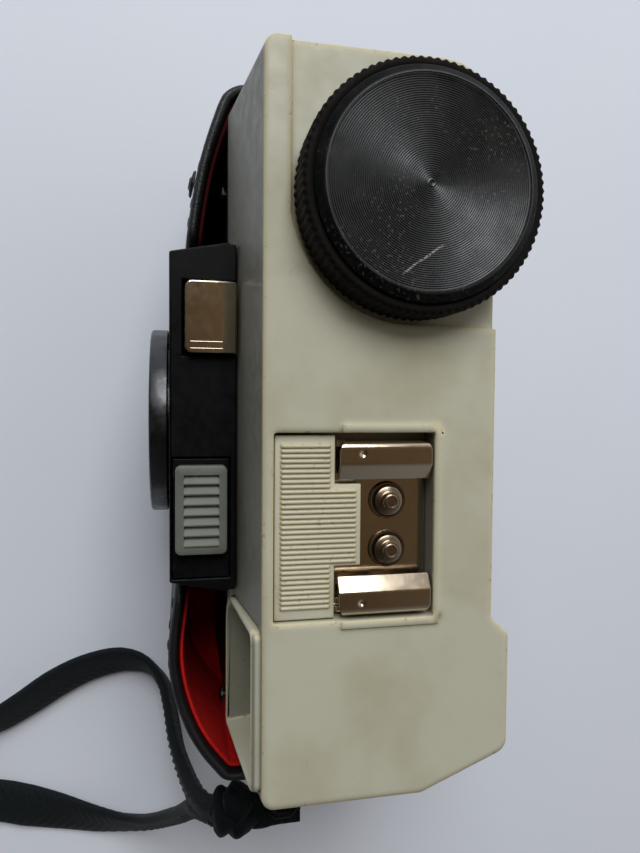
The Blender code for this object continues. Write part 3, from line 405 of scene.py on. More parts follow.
def lace_look(name, shade):
    """Black woven yarn with lint on it: shade says how light it is."""
    look = Look(name, (0.010, 0.013, 0.014), 0.75, Specular_IOR_Level=0.25 * shade,
                Sheen_Weight=0.12 * shade)
    fibres = look.patches(0.22, 4.0, 0.35, 0.70)
    yarns = (0.0055, 0.008, 0.009), (0.019, 0.027, 0.029)
    tone = look.mix(fibres, *([shade * c for c in yarn] for yarn in yarns))
    # Painted shade in the creases.
    tone = look.mix(look.both(look.nooks(0.7), 0.9), tone, (0.0015, 0.002, 0.002))
    lint = look.patches(0.18, 2.0, 0.76, 0.82, 0.0, 0.4)
    look.paint(look.mix(lint, tone, (0.09, 0.09, 0.085)))
    look.bump(look.noise(0.14, 3.0), 0.04)
    return look.material


def grey_look():
    look = Look("switch_grey_plastic", (0.135, 0.145, 0.122), 0.48, Specular_IOR_Level=0.4)
    tone = look.mix(look.patches(3.5, 5.0, 0.4, 0.75, 0.0, 0.6), (0.140, 0.152, 0.126),
                    (0.108, 0.108, 0.084))
    # Painted shade in corners.
    tone = look.mix(look.both(look.nooks(0.6), 0.8), tone, (0.020, 0.018, 0.013))
    rub = look.both(look.edges(0.2), look.patches(0.8, 4.0, 0.4, 0.7, 0.0, 0.5))
    look.paint(look.mix(rub, tone, (0.22, 0.23, 0.19)))
    look.bump(look.noise(0.25, 2.0), 0.01)
    return look.material


def glass_look():
    look = Look("lens_glass", (0.93, 0.96, 1.0), 0.03, Transmission_Weight=1.0, IOR=1.52)
    look.roughen(look.patches(2.5, 5.0, 0.45, 0.8, 0.02, 0.10))
    return look.material


def pane_look():
    """Finder window whose grey-green is a painted reflection, so that it takes the colour of the hood around
    it.
    """
    look = Look("finder_pane_painted_reflection", (0.13, 0.135, 0.115), 0.38, Transmission_Weight=0.3, IOR=1.5)
    look.paint(look.mix(look.patches(3.0, 4.0, 0.35, 0.7), (0.12, 0.127, 0.108), (0.16, 0.165, 0.14)))
    return look.material


def floor_look():
    look = Look("paper_floor", (0.80, 0.83, 0.90), 0.85, Specular_IOR_Level=0.2)
    cloud = look.patches(90.0, 3.0, 0.3, 0.7)
    look.paint(look.mix(cloud, (0.80, 0.825, 0.89), (0.775, 0.81, 0.875)))
    look.bump(look.noise(2.5, 4.0), 0.03)
    return look.material


LOOKS = {
    # deep darkens the hood's floor with painted shade.
    "putty": putty_look("putty_plastic", soft=0.7, deep=0.8),
    # front darkens the cover's front faces with painted shade.
    "cover": putty_look("cover_plastic", front=0.74, soft=1.3),
    # A lighter copy of the putty for the ribbed plate: painted light.
    "pale": putty_look("putty_plastic_painted_light", PUTTY_LIT, PUTTY),
    "black": black_look("black_moulding", (0.0030, 0.0030, 0.0034), 0.40, dust=0.04, gloss=0.10),
    "ring": black_look("black_metal_ring", (0.003, 0.004, 0.005), 0.26, dust=0.02, grain=0.002, gloss=0.8),
    "knurl": black_look("black_knurl", (0.0060, 0.0050, 0.0040), 0.55, dust=0.03, grain=0.020, gloss=0.06),
    "wheel": wheel_look(),
    "nickel": metal_look("nickel_plate", (0.58, 0.49, 0.37), 0.12, (0.44, 0.34, 0.22)),
    "bronze": metal_look("tarnished_nickel", (0.30, 0.235, 0.165), 0.22, (0.20, 0.15, 0.095)),
    "steel": metal_look("bright_steel", (0.52, 0.52, 0.51), 0.24, (0.33, 0.31, 0.28)),
    "dull": metal_look("blackened_steel", (0.040, 0.038, 0.036), 0.38, (0.025, 0.022, 0.020)),
    "brass": metal_look("turned_brass", (0.62, 0.45, 0.18), 0.26, (0.38, 0.26, 0.10)),
    "leather": leather_look(),
    "lining": lining_look(),
    "lace": lace_look("strap_lace_yarn", 0.62),
    # A darker copy of the lace's yarn for the knot: painted shade.
    "knot": lace_look("knot_lace_yarn_painted_shade", 0.3),
    "grey": grey_look(),
    "glass": glass_look(),
    "pane": pane_look(),
}


# ---------------- mesh helpers

def finished_mesh(name, shape, smooth_below):
    """Mesh in metres from a bmesh in millimetres, smooth but for edges sharper than the angle."""
    bmesh.ops.scale(shape, vec=(MM, MM, MM), verts=shape.verts)
    bmesh.ops.remove_doubles(shape, verts=shape.verts, dist=1e-7)
    bmesh.ops.recalc_face_normals(shape, faces=shape.faces)
    mesh = bpy.data.meshes.new(name)
    shape.to_mesh(mesh)
    shape.free()
    mesh.shade_smooth()
    mesh.set_sharp_from_angle(angle=math.radians(smooth_below))
    return mesh


def add_grid(shape, rows, wrap_rows=False, wrap_columns=True, caps=False):
    """Adds a grid of points to a bmesh, with a quad between each four neighbours."""
    verts = [[shape.verts.new(point) for point in row] for row in rows]
    turns = len(rows) if wrap_rows else len(rows) - 1
    width = len(rows[0])
    for i in range(turns):
        near, far = verts[i], verts[(i + 1) % len(rows)]
        for j in range(width if wrap_columns else width - 1):
            k = (j + 1) % width
            shape.faces.new((near[j], near[k], far[k], far[j]))
    if caps:
        shape.faces.new(verts[0][::-1])
        shape.faces.new(verts[-1])


def turn_angles(count):
    return [2 * math.pi * k / count for k in range(count)]


def arch(wide, high, steps):
    """Section of a low rib with a round top, as offsets from the middle of its foot."""
    return [(wide * math.cos(math.pi * k / steps), high * math.sin(math.pi * k / steps))
            for k in range(steps + 1)]


def add_turned(shape, profile, centre, facing="+Z", steps=96, ripple=None, closed=True):
    """Adds a turned form. A profile point is (radius, height) or (radius, height, depth of ripple)."""
    rows = []
    for radius, height, *depth in profile:
        row = []
        for angle in turn_angles(steps):
            reach = radius - (depth[0] * ripple(angle) if depth else 0.0)
            across, up = reach * math.cos(angle), reach * math.sin(angle)
            step = (across, up, height) if facing == "+Z" else (across, -height, up)
            row.append(Vector(centre) + Vector(step))
        rows.append(row)
    add_grid(shape, rows, wrap_rows=closed)


def fillet(corners, steps=6, closed=True):
    """Points of an outline through corners (x, y, radius), with each radius as an arc."""
    points = []
    for i, (x, y, radius) in enumerate(corners):
        here = Vector((x, y))
        if radius <= 0 or (not closed and i in (0, len(corners) - 1)):
            points.append(here)
            continue
        back = (Vector(corners[i - 1][:2]) - here).normalized()
        ahead = (Vector(corners[(i + 1) % len(corners)][:2]) - here).normalized()
        half = back.angle(ahead) / 2
        centre = here + (back + ahead).normalized() * radius / math.sin(half)
        start = here + back * radius / math.tan(half) - centre
        turn = start.angle_signed(here + ahead * radius / math.tan(half) - centre)
        for k in range(steps + 1):
            swung = start.copy()
            swung.rotate(Matrix.Rotation(-turn * k / steps, 2))
            points.append(centre + swung)
    return points


def inset(points, distance):
    """An anticlockwise outline moved inwards."""
    moved = []
    for i, here in enumerate(points):
        came = (here - points[i - 1]).normalized()
        goes = (points[(i + 1) % len(points)] - here).normalized()
        sides = Vector((-came.y, came.x)), Vector((-goes.y, goes.x))
        moved.append(here + (sides[0] + sides[1]) * distance / (1 + sides[0].dot(sides[1])))
    return moved


def refine(points, step, closed=True):
    """The same line with points no further apart than the step."""
    ends = points[1:] + points[:1] if closed else points[1:]
    dense = []
    for start, end in zip(points, ends):
        count = max(1, math.ceil((end - start).length / step))
        dense += [start.lerp(end, k / count) for k in range(count)]
    return dense if closed else dense + [points[-1]]


def rectangle(low, high, radius):
    corners = ((low[0], low[1]), (high[0], low[1]), (high[0], high[1]), (low[0], high[1]))
    return [(x, y, radius) for x, y in corners]


def add_slab(shape, outline, low, high, bevel=0.0):
    """Adds a flat solid on an anticlockwise outline, its top edge rounded by the bevel."""
    levels = [(0.0, low), (0.0, high - bevel)]
    if bevel:
        levels += [(0.3 * bevel, high - 0.3 * bevel), (bevel, high)]
    rows = [[(p.x, p.y, z) for p in (inset(outline, d) if d else outline)] for d, z in levels]
    add_grid(shape, rows, caps=True)


def add_frame(shape, outer, inner, low, high, bevel):
    """Adds a flat frame between two outlines that have the same number of points."""
    levels = ((outer, 0.0, low), (outer, 0.0, high - bevel), (outer, 0.3 * bevel, high - 0.3 * bevel),
              (outer, bevel, high), (inner, 0.0, high), (inner, 0.0, low))
    rows = [[(p.x, p.y, z) for p in (inset(line, d) if d else line)] for line, d, z in levels]
    add_grid(shape, rows, wrap_rows=True)


def add_sheet(shape, outlines, low, high):
    """Adds a flat solid with holes: the first outline is its edge and the others are its holes."""
    curve = bpy.data.curves.new("sheet", "CURVE")
    curve.dimensions = "2D"
    curve.fill_mode = "BOTH"
    curve.extrude = (high - low) / 2
    for outline in outlines:
        spline = curve.splines.new("POLY")
        spline.points.add(len(outline) - 1)
        spline.use_cyclic_u = True
        for point, corner in zip(spline.points, outline):
            point.co = (corner[0], corner[1], 0.0, 1.0)
    holder = bpy.data.objects.new("sheet", curve)
    bpy.context.scene.collection.objects.link(holder)
    graph = bpy.context.evaluated_depsgraph_get()
    mesh = bpy.data.meshes.new_from_object(holder.evaluated_get(graph))
    bpy.data.objects.remove(holder)
    bpy.data.curves.remove(curve)
    mesh.transform(Matrix.Translation((0.0, 0.0, (low + high) / 2)))
    shape.from_mesh(mesh)
    bpy.data.meshes.remove(mesh)


def circle(centre, radius, count=48):
    return [Vector((centre[0] + radius * math.cos(t), centre[1] + radius * math.sin(t)))
            for t in turn_angles(count)]


def piece(name, shape, look, body, node, smooth_below=38.0):
    """A visible piece that rides on a body and stands for a CAD node."""
    mesh = finished_mesh(name, shape, smooth_below)
    obj = bpy.data.objects.new(name, mesh)
    bpy.context.scene.collection.objects.link(obj)
    mesh.materials.append(LOOKS[look])
    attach(obj, body)
    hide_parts(node)
    return obj


# ---------------- advance wheel

RIDGES = 90
RIDGE_DEPTH = 0.24
RIM_BORE = 2.4
CAP_SLOPE = 1.25
FACE_SINK = 0.12
GROOVES_FROM = 0.5
GROOVE_PITCH = 0.26
GROOVE_DEPTH = 0.06


def build_wheel():
    """Cap turned with fine grooves inside a sloping edge, and the rim with its rounded ridges."""
    axis = middle("wheel_cap")
    centre = (axis.x, axis.y, 0.0)
    low, high = limits("wheel_cap")
    radius = (high.x - low.x) / 2
    face = high.z - FACE_SINK
    edge = radius - CAP_SLOPE
    profile = [(0.0, face - GROOVE_DEPTH), (0.25, face - GROOVE_DEPTH), (0.4, face)]
    for k in range(int((edge - GROOVES_FROM) / GROOVE_PITCH)):
        start = GROOVES_FROM + k * GROOVE_PITCH
        profile += [(start + 0.35 * GROOVE_PITCH, face - GROOVE_DEPTH), (start + 0.85 * GROOVE_PITCH, face)]
    profile += [(edge, face), (edge + 0.06, high.z), (edge + 0.16, high.z), (edge + 0.26, high.z - 0.08),
                (radius - 0.18, low.z + 0.32), (radius - 0.05, low.z + 0.22), (radius, low.z + 0.1),
                (radius, low.z), (0.0, low.z)]
    shape = bmesh.new()
    add_turned(shape, profile, centre, steps=160, closed=False)
    piece("cap_grooved", shape, "wheel", "advance_wheel", "wheel_cap")
    low, high = limits("wheel_rim")
    outer = (high.x - low.x) / 2
    depth = RIDGE_DEPTH
    profile = [(RIM_BORE, low.z), (outer - 0.9, low.z), (outer - 0.35, low.z + 0.1, depth / 2),
               (outer, low.z + 0.45, depth), (outer, high.z - 0.75, depth),
               (outer - 0.12, high.z - 0.3, depth), (outer - 0.45, high.z - 0.04, depth / 3),
               (outer - 0.7, high.z), (radius + 0.12, high.z), (radius - 0.1, high.z - 0.2),
               (RIM_BORE, high.z - 0.2)]
    shape = bmesh.new()
    add_turned(shape, profile, centre, steps=RIDGES * 6, ripple=lambda t: 0.5 - 0.5 * math.cos(RIDGES * t))
    piece("rim_knurled", shape, "knurl", "advance_wheel", "wheel_rim", smooth_below=60.0)


# ---------------- shoe

SHOE_SHEET = 0.8
SHOE_CORNER = 1.0
LIP_FLAT = 2.6
LIP_WIDTH = 4.45
LIP_FALL = 1.0
DIMPLE_RADIUS = 0.55
DIMPLE_DEPTH = 0.34


def shoe_path(half, low, high):
    """Section of the folded sheet in X and Z, from the tip of one sprung lip to the other's."""
    side = [(half - LIP_WIDTH, high - LIP_FALL, 0.0), (half - LIP_FLAT, high, 0.7), (half, high, 0.65),
            (half, low, 0.7)]
    corners = [(-x, z, r) for x, z, r in side] + [(x, z, r) for x, z, r in reversed(side)]
    return refine(fillet(corners, 6, closed=False), 0.16, closed=False)


def build_shoe():
    low, high = limits("accessory_shoe")
    centre = middle("accessory_shoe")
    half = (high.x - low.x) / 2 - SHOE_SHEET / 2
    path = shoe_path(half, low.z + SHOE_SHEET / 2, high.z - SHOE_SHEET / 2)
    corner, columns = SHOE_CORNER, 80
    dimples = [(side * (half - 1.3), low.y + 2.9) for side in (-1, 1)]
    rows = []
    for x, z in path:
        over = max(0.0, abs(x) - (half - corner))
        pull = corner - math.sqrt(max(corner ** 2 - over ** 2, 0.0)) if z > low.z + 1.5 else 0.0
        row = []
        for k in range(columns + 1):
            y = low.y + pull + (high.y - low.y - 2 * pull) * k / columns
            away = min(math.hypot(x - dx, y - dy) for dx, dy in dimples)
            dented = away < DIMPLE_RADIUS and z > high.z - 1.2
            dent = DIMPLE_DEPTH * (1 - (away / DIMPLE_RADIUS) ** 2) ** 2 if dented else 0.0
            row.append((centre.x + x, y, z - dent))
        rows.append(row)
    shape = bmesh.new()
    add_grid(shape, rows, wrap_columns=False)
    shoe = piece("shoe_folded", shape, "nickel", "camera", "accessory_shoe")
    thick = shoe.modifiers.new("thickness", "SOLIDIFY")
    thick.thickness = (SHOE_SHEET - 0.1) * MM
    thick.offset = 0.0
    soft = shoe.modifiers.new("edge", "BEVEL")
    soft.width = 0.12 * MM
    soft.segments = 2
    soft.angle_limit = math.radians(60)
    for i in (1, 2):
        build_stud(i)


def build_stud(index):
    stud, washer = f"shoe_stud_{index}", f"shoe_washer_{index}"
    low, high = limits(stud)
    axis = middle(stud)
    centre = (axis.x, axis.y, 0.0)
    top = high.z
    shape = bmesh.new()
    add_turned(shape, [(0.0, top - 0.08), (0.62, top - 0.1), (0.72, top), (0.9, top), (1.08, top - 0.14),
                       (1.15, top - 0.4), (1.16, top - 1.0), (1.35, top - 1.1), (1.72, top - 1.12),
                       (1.88, top - 1.22), (1.9, top - 1.5), (1.1, top - 1.6), (1.1, low.z), (0.0, low.z)],
               centre, steps=48, closed=False)
    piece(f"stud_turned_{index}", shape, "bronze", "camera", stud)
    low, high = limits(washer)
    outer = (high.x - low.x) / 2
    shape = bmesh.new()
    add_turned(shape, [(1.4, low.z), (outer - 0.05, low.z), (outer, low.z + 0.1),
                       (outer - 0.04, high.z - 0.12), (outer - 0.15, high.z), (outer - 0.3, high.z),
                       (outer - 0.42, high.z - 0.12), (1.4, high.z - 0.12)], centre, steps=56)
    piece(f"washer_stamped_{index}", shape, "bronze", "camera", washer)


RIBS = 33
RIB_MARGIN = 0.55
PLATE_MARGIN = 0.15
PLATE_BACK = 9.2
TONGUE_SIDES = (6.9, 17.3)


def build_ribbed_plate():
    """Flat plate in the recess with rounded ribs, and a tongue between the shoe's lips."""
    low, high = limits("shoe_ribbed_plate")
    x0, x1, y0 = low.x - PLATE_MARGIN, high.x + PLATE_MARGIN, low.y - PLATE_MARGIN
    back, tongue = PLATE_BACK, high.y
    left, right = TONGUE_SIDES
    plan = [Vector(p) for p in ((x0, y0), (x1, y0), (x1, back), (right, back), (right, tongue),
                                (left, tongue), (left, back), (x0, back))]
    top = high.z - 0.42
    shape = bmesh.new()
    add_slab(shape, plan, low.z, top, 0.12)
    first = low.x + 0.9
    pitch = (high.x - 1.1 - first) / RIBS
    section = arch(0.33, 0.36, 8)
    for k in range(RIBS):
        x = first + (k + 0.5) * pitch
        inside = left < x - 0.4 * pitch and x + 0.4 * pitch < right
        end = (tongue if inside else back) - RIB_MARGIN
        rows = [[(x + a * pitch * 1.25, y, top - 0.05 + b * grow) for a, b in section]
                for y, grow in ((y0 + 0.75, 0.1), (y0 + 0.91, 1.0), (end - 0.16, 1.0), (end, 0.1))]
        add_grid(shape, rows, caps=True)
    piece("plate_ribbed", shape, "pale", "camera", "shoe_ribbed_plate")


# ---------------- controls

def split_at(shape, point, normal):
    everything = [*shape.verts, *shape.edges, *shape.faces]
    bmesh.ops.bisect_plane(shape, geom=everything, plane_co=point, plane_no=normal)


BUTTON_STEM = (-15.0, -6.0, 0.0)


def build_button():
    """Plated cap with round front corners, its back strip bent down and two fine lines, on a stem."""
    low, high = limits("shutter_button")
    base = high.z - 4.3
    back = high.y + 0.45
    bend = back - 1.5
    corners = ((low.x, low.y, 1.0), (high.x, low.y, 0.9), (high.x, back, 0.1), (low.x, back, 0.35))
    shape = bmesh.new()
    add_slab(shape, fillet(corners, 6), base, high.z, 0.22)
    split_at(shape, (0.0, bend, 0.0), (0.0, 1.0, 0.0))
    split_at(shape, (0.0, 0.0, high.z - 1.6), (0.0, 0.0, 1.0))
    for vert in shape.verts:
        if vert.co.z > high.z - 1.0:
            vert.co.z -= 0.30 * max(0.0, vert.co.y - bend)
        elif vert.co.y > bend + 0.1:
            vert.co.y = min(vert.co.y, high.y)
    for x in (high.x - 1.55, high.x - 0.62):
        rows = [[(x + a, y, high.z - 0.01 + b) for a, b in arch(0.07, 0.05, 6)]
                for y in (low.y + 0.75, bend - 0.5)]
        add_grid(shape, rows, caps=True)
    stem = [(0.0, base + 0.5), (1.2, base + 0.5), (1.2, low.z + 0.2), (1.0, low.z), (0.0, low.z)]
    add_turned(shape, stem, BUTTON_STEM, steps=32, closed=False)
    piece("button_plated", shape, "nickel", "button", "shutter_button", smooth_below=20.0)


def build_button_spring():
    """Small coil under the button."""
    low, high = limits("button_spring")
    centre = middle("button_spring")
    wire, turns, steps = 0.25, 4, 24
    across = (high.x - low.x) / 2 - wire
    rise = high.z - low.z - 2 * wire
    rows = []
    for k in range(turns * steps + 1):
        t = k / steps
        out = Vector((math.cos(2 * math.pi * t), math.sin(2 * math.pi * t), 0.0))
        heart = Vector((centre.x, centre.y, low.z + wire)) + out * across
        heart += Vector((0.0, 0.0, rise * t / turns))
        rows.append([heart + out * wire * math.cos(a) + Vector((0.0, 0.0, wire * math.sin(a)))
                     for a in turn_angles(8)])
    shape = bmesh.new()
    add_grid(shape, rows, caps=True)
    spring = piece("spring_coiled", shape, "steel", "camera", "button_spring")
    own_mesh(spring)


SWITCH_TEETH = 7
SWITCH_FOOT = ((9.3, -7.9), (13.9, -6.2))


def build_switch():
    """Sliding switch: a framed field of slanting teeth, on a foot in the panel's slot."""
    low, high = limits("slide_switch")
    top, ground = high.z - 0.3, high.z - 0.78
    outline = fillet(rectangle(low, high, 0.8), 6)
    field_low = Vector((low.x + 1.3, low.y + 1.15))
    field_high = Vector((high.x - 1.0, high.y - 1.1))
    shape = bmesh.new()
    add_slab(shape, outline, top - 1.4, ground)
    field = fillet(rectangle(field_low, field_high, 0.12), 6)
    add_frame(shape, outline, field, ground - 0.05, top, 0.28)
    pitch = (field_high.x - field_low.x) / SWITCH_TEETH
    for k in range(SWITCH_TEETH):
        x = field_low.x + k * pitch
        section = ((0.0, ground - 0.05), (0.96, ground - 0.05), (0.94, top - 0.06), (0.82, top),
                   (0.68, top - 0.05), (0.30, ground + 0.02))
        rows = [[(x + share * pitch, y, z) for share, z in section] for y in (field_low.y, field_high.y)]
        add_grid(shape, rows, caps=True)
    add_slab(shape, fillet(rectangle(*SWITCH_FOOT, 0.2), 3), low.z, top - 1.3)
    piece("switch_toothed", shape, "grey", "switch", "slide_switch", smooth_below=28.0)


RING_RIDGES = 60


def build_lens_rings():
    """Smooth outer ring and the finely knurled ring inside it, turned on the lens axis."""
    for body, look, slot, ridges in (("focus", "ring", "black_metal", 0),
                                     ("aperture", "steel", "nickel", RING_RIDGES)):
        node = f"{body}_ring"
        low, high = limits(node)
        axis = middle(node)
        outer = (high.x - low.x) / 2
        bore = outer - 2.6
        back, front = -high.y, -low.y
        depth = 0.22 if ridges else 0.0
        soft = min(0.32, (front - back) / 4)
        profile = [(bore, back), (outer - 0.2, back), (outer, back + 0.15, depth),
                   (outer, front - soft, depth), (outer - 0.35 * soft, front - 0.35 * soft, depth),
                   (outer - soft, front), (bore + 0.35, front), (bore, front - 0.3)]
        shape = bmesh.new()
        add_turned(shape, profile, (axis.x, 0.0, axis.z), "-Y", steps=max(144, ridges * 6),
                   ripple=lambda t, count=ridges: 0.5 - 0.5 * math.cos(count * t))
        piece(f"{node}_turned", shape, look, body, node, smooth_below=50.0)


# ---------------- half-case

# Corners of the case's outline from above, each with the radius of its bend.
CASE_CORNERS = ((-52.6, 33.8, 5.0), (-52.6, -3.2, 5.0), (-39.5, -7.4, 14.0), (-27.0, -9.4, 30.0),
                (26.0, -10.6, 30.0), (37.5, -12.4, 9.0), (49.0, -9.6, 12.0), (57.6, -3.6, 4.5),
                (57.6, 33.8, 5.0))
CASE_NOTCH = (-26.8, 25.0)
NOTCH_TOP = 4.3
NOTCH_CORNER = 3.5
CASE_LEATHER = 1.6
LINING_GAP, LINING = 0.1, 0.6
RIM_TURN = 1.5
CASE_STEP = 0.6
SWAY, SWAY_SIZE = 0.30, 16.0
WALL_HEIGHT = 38.0
LEAST_WALL = 1.6
INSIDE_STEPS = (0.0, 0.5, 1.0, 1.4)
SCREW_RECESS, SCREW_HOLE = 8.6, 3.4
SOLE_LEVELS = (2.1, 2.6)


def notch_height(point, rim):
    """Height of the case's wall: the full rim, but low in front of the lens block."""
    if point.y > 0.0:
        return rim
    past = max(CASE_NOTCH[0] - point.x, point.x - CASE_NOTCH[1])
    if past <= 0.0:
        return NOTCH_TOP
    if past >= NOTCH_CORNER:
        return rim
    return rim - NOTCH_CORNER + math.sqrt(NOTCH_CORNER ** 2 - (NOTCH_CORNER - past) ** 2)


def sway(x, y, z):
    """How far the soft wall stands out of its plain shape there."""
    return SWAY * (z / WALL_HEIGHT) * noise.noise(Vector((x, y, z)) / SWAY_SIZE)


def add_wall(shape, outline, near, far, low, rim, rounding, drop=0.0):
    """Adds a standing wall between two insets of the outline, its rounded edge a drop below the rim."""
    outer, inner = inset(outline, near), inset(outline, far)
    ups = [k / 10 for k in range(11)]
    arc = [math.pi * k / 8 for k in range(1, 8)]
    columns = []
    for here, a, b in zip(outline, outer, inner):
        top = max(notch_height(here, rim) - drop, low + rounding + LEAST_WALL)
        out = (a - b).normalized()
        shoulder = top - rounding
        column = [(a, low + (shoulder - low) * u) for u in ups]
        column += [(a.lerp(b, 0.5 - 0.5 * math.cos(t)), shoulder + rounding * math.sin(t)) for t in arc]
        column += [(b, shoulder - down) for down in INSIDE_STEPS]
        column += [(b, low + (shoulder - INSIDE_STEPS[-1] - low) * u) for u in reversed(ups[:-1])]
        columns.append([(*(p + out * sway(here.x, here.y, z)), z) for p, z in column])
    rows = [list(row) for row in zip(*columns)]
    add_grid(shape, rows, wrap_rows=True)


def add_stitches(shape, outline, rim):
    """Adds a line of short raised stitches below the rim."""
    length, every, drop = 2.0, 3.0, 3.2
    travelled = every / 2
    outer = inset(outline, -0.02)
    for here, ahead, source in zip(outer, outer[1:] + outer[:1], outline):
        travelled += (ahead - here).length
        if travelled < every or notch_height(source, rim) < rim:
            continue
        travelled = 0.0
        along = (ahead - here).normalized()
        out = Vector((along.y, -along.x))
        z = rim - drop
        rows = []
        for k in range(7):
            t = k / 6 * 2 - 1
            size = 0.17 * math.sqrt(max(0.0, 1 - t ** 6)) + 0.02
            centre = here + along * t * length / 2 + out * (sway(here.x, here.y, z) + 0.01 - 0.10 * t * t)
            rows.append([(*(centre + out * size * math.cos(a)), z + size * 1.1 * math.sin(a))
                         for a in turn_angles(8)])
        add_grid(shape, rows, caps=True)


EASE_REACH, EASE_FROM, EASE_OVER = 6.0, -3.5, 3.0


def eased(outline):
    """The case's outline with its long front bends drawn out into one easy curve."""
    reach = round(EASE_REACH / CASE_STEP)
    for _ in range(2):
        count = len(outline)
        calm = [sum((outline[(i + k) % count] for k in range(-reach, reach + 1)), Vector((0.0, 0.0)))
                / (2 * reach + 1) for i in range(count)]
        shares = [min(1.0, max(0.0, (EASE_FROM - here.y) / EASE_OVER)) for here in outline]
        outline = [here.lerp(mean, share) for here, mean, share in zip(outline, calm, shares)]
    return outline


def build_half_case():
    outline = eased(refine(fillet(CASE_CORNERS, 10), CASE_STEP))
    low, high = limits("half_case_shell")
    screw = middle("case_screw")
    shape = bmesh.new()
    add_wall(shape, outline, 0.0, CASE_LEATHER, low.z, high.z, 1.1)
    add_stitches(shape, outline, high.z)
    sole = inset(outline, CASE_LEATHER - 0.4)[::4]
    add_sheet(shape, [sole, circle(screw, SCREW_RECESS)], low.z, SOLE_LEVELS[0])
    add_sheet(shape, [sole, circle(screw, SCREW_HOLE)], *SOLE_LEVELS)
    piece("case_leather_shell", shape, "leather", "camera", "half_case_shell")
    low, high = limits("half_case_lining")
    shape = bmesh.new()
    start = CASE_LEATHER + LINING_GAP
    add_wall(shape, outline, start, start + LINING, low.z, high.z, 0.28, drop=RIM_TURN)
    floor = [inset(outline, start + LINING / 2)[::4], circle(screw, SCREW_HOLE)]
    add_sheet(shape, floor, low.z, low.z + LINING)
    piece("case_felt_lining", shape, "lining", "camera", "half_case_lining")


# ---------------- strap

# The route is the middle of the lace, from where it leaves the knot, round the loop and back to it.
STRAP_WIDTH = 8.4
STRAP_THICK = 2.2
STRAP_RELIEF = 0.50
NARROW_ENDS = (26.0, 40.0)
STRAP_ROUTE = ((65.0, -6.3, 30.2), (64.6, -8.2, 25.2), (62.2, -10.6, 16.4), (58.2, -11.9, 9.2),
               (54.7, -13.1, 5.4), (51.7, -15.6, 4.0), (49.9, -19.2, 3.6), (49.5, -23.2, 3.5),
               (50.8, -28.9, 3.5), (53.3, -34.3, 3.5), (56.8, -39.8, 3.5), (59.8, -45.0, 3.5),
               (62.4, -50.4, 3.8), (65.2, -55.6, 4.2), (69.2, -59.4, 4.4), (73.6, -59.6, 4.2),
               (76.2, -55.8, 3.0), (76.9, -50.8, 1.6), (77.5, -45.7, 1.1), (79.1, -40.4, 1.1),
               (80.9, -34.2, 1.4), (82.8, -26.8, 2.4), (83.2, -20.4, 4.2), (81.1, -15.4, 8.2),
               (76.2, -10.6, 15.0), (71.0, -7.5, 21.8), (68.2, -6.2, 27.0))
INTO_KNOT = ((65.2, -3.9, 32.6), (67.0, -3.6, 31.4))
KNOT_RADII = (4.0, 3.8, 3.6)
BRAID_PITCH = 1.75
BRAID_SLOPE = 1.7

# Which way one edge of the flat lace points at places along it: the number of the route's point, then
# x, y, z.
LACE_EDGE = ((0, (-0.9, -0.3, 0.3)), (2, (-0.8, -0.2, 0.6)), (4, (-0.55, -0.2, 0.8)),
             (6, (-0.75, -0.35, 0.62)), (9, (-0.70, -0.43, 0.58)), (11, (-0.62, -0.40, 0.68)),
             (13, (-0.3, -0.2, 1.0)), (14, (0.0, 0.0, 1.0)), (15, (0.1, 0.0, 1.0)), (16, (0.6, 0.0, 0.7)),
             (17, (1.0, 0.0, 0.25)), (18, (1.0, 0.0, 0.0)), (19, (1.0, 0.0, 0.0)), (20, (1.0, 0.0, -0.22)),
             (21, (1.0, 0.0, -0.55)), (22, (0.9, 0.0, -0.9)), (23, (0.75, 0.0, -1.0)), (26, (0.6, 0.1, -0.9)))


def smooth_route(points, step, numbers=None):
    """Evenly close points on a smooth curve through the given ones (Catmull-Rom).

    A list given as numbers is filled with each new point's place among the given ones.
    """
    knots = [Vector(p) for p in points]
    knots = [knots[0] * 2 - knots[1], *knots, knots[-1] * 2 - knots[-2]]
    route = []
    for i, (a, b, c, d) in enumerate(zip(knots, knots[1:], knots[2:], knots[3:])):
        pieces = max(1, round((c - b).length / step))
        for k in range(pieces):
            t = k / pieces
            route.append(0.5 * (2 * b + (c - a) * t + (2 * a - 5 * b + 4 * c - d) * t ** 2
                                + (3 * b - a - 3 * c + d) * t ** 3))
            if numbers is not None:
                numbers.append(i + t)
    if numbers is not None:
        numbers.append(len(points) - 1.0)
    return [*route, knots[-2]]


def between(keys, number):
    """Vector at a place between keyed ones, blended evenly."""
    if number <= keys[0][0]:
        return Vector(keys[0][1])
    for (start, first), (end, second) in zip(keys, keys[1:]):
        if number <= end:
            return Vector(first).lerp(Vector(second), (number - start) / (end - start))
    return Vector(keys[-1][1])


def tangents(route, closed=False):
    count = len(route)
    if closed:
        return [(route[(i + 1) % count] - route[i - 1]).normalized() for i in range(count)]
    return [(route[min(i + 1, count - 1)] - route[max(i - 1, 0)]).normalized() for i in range(count)]


def braid(across, along):
    """Relief of slanting strands that meet in a V along the middle, from 0 to 1."""
    return 0.5 + 0.5 * math.cos(2 * math.pi * (along / BRAID_PITCH + BRAID_SLOPE * abs(across)))


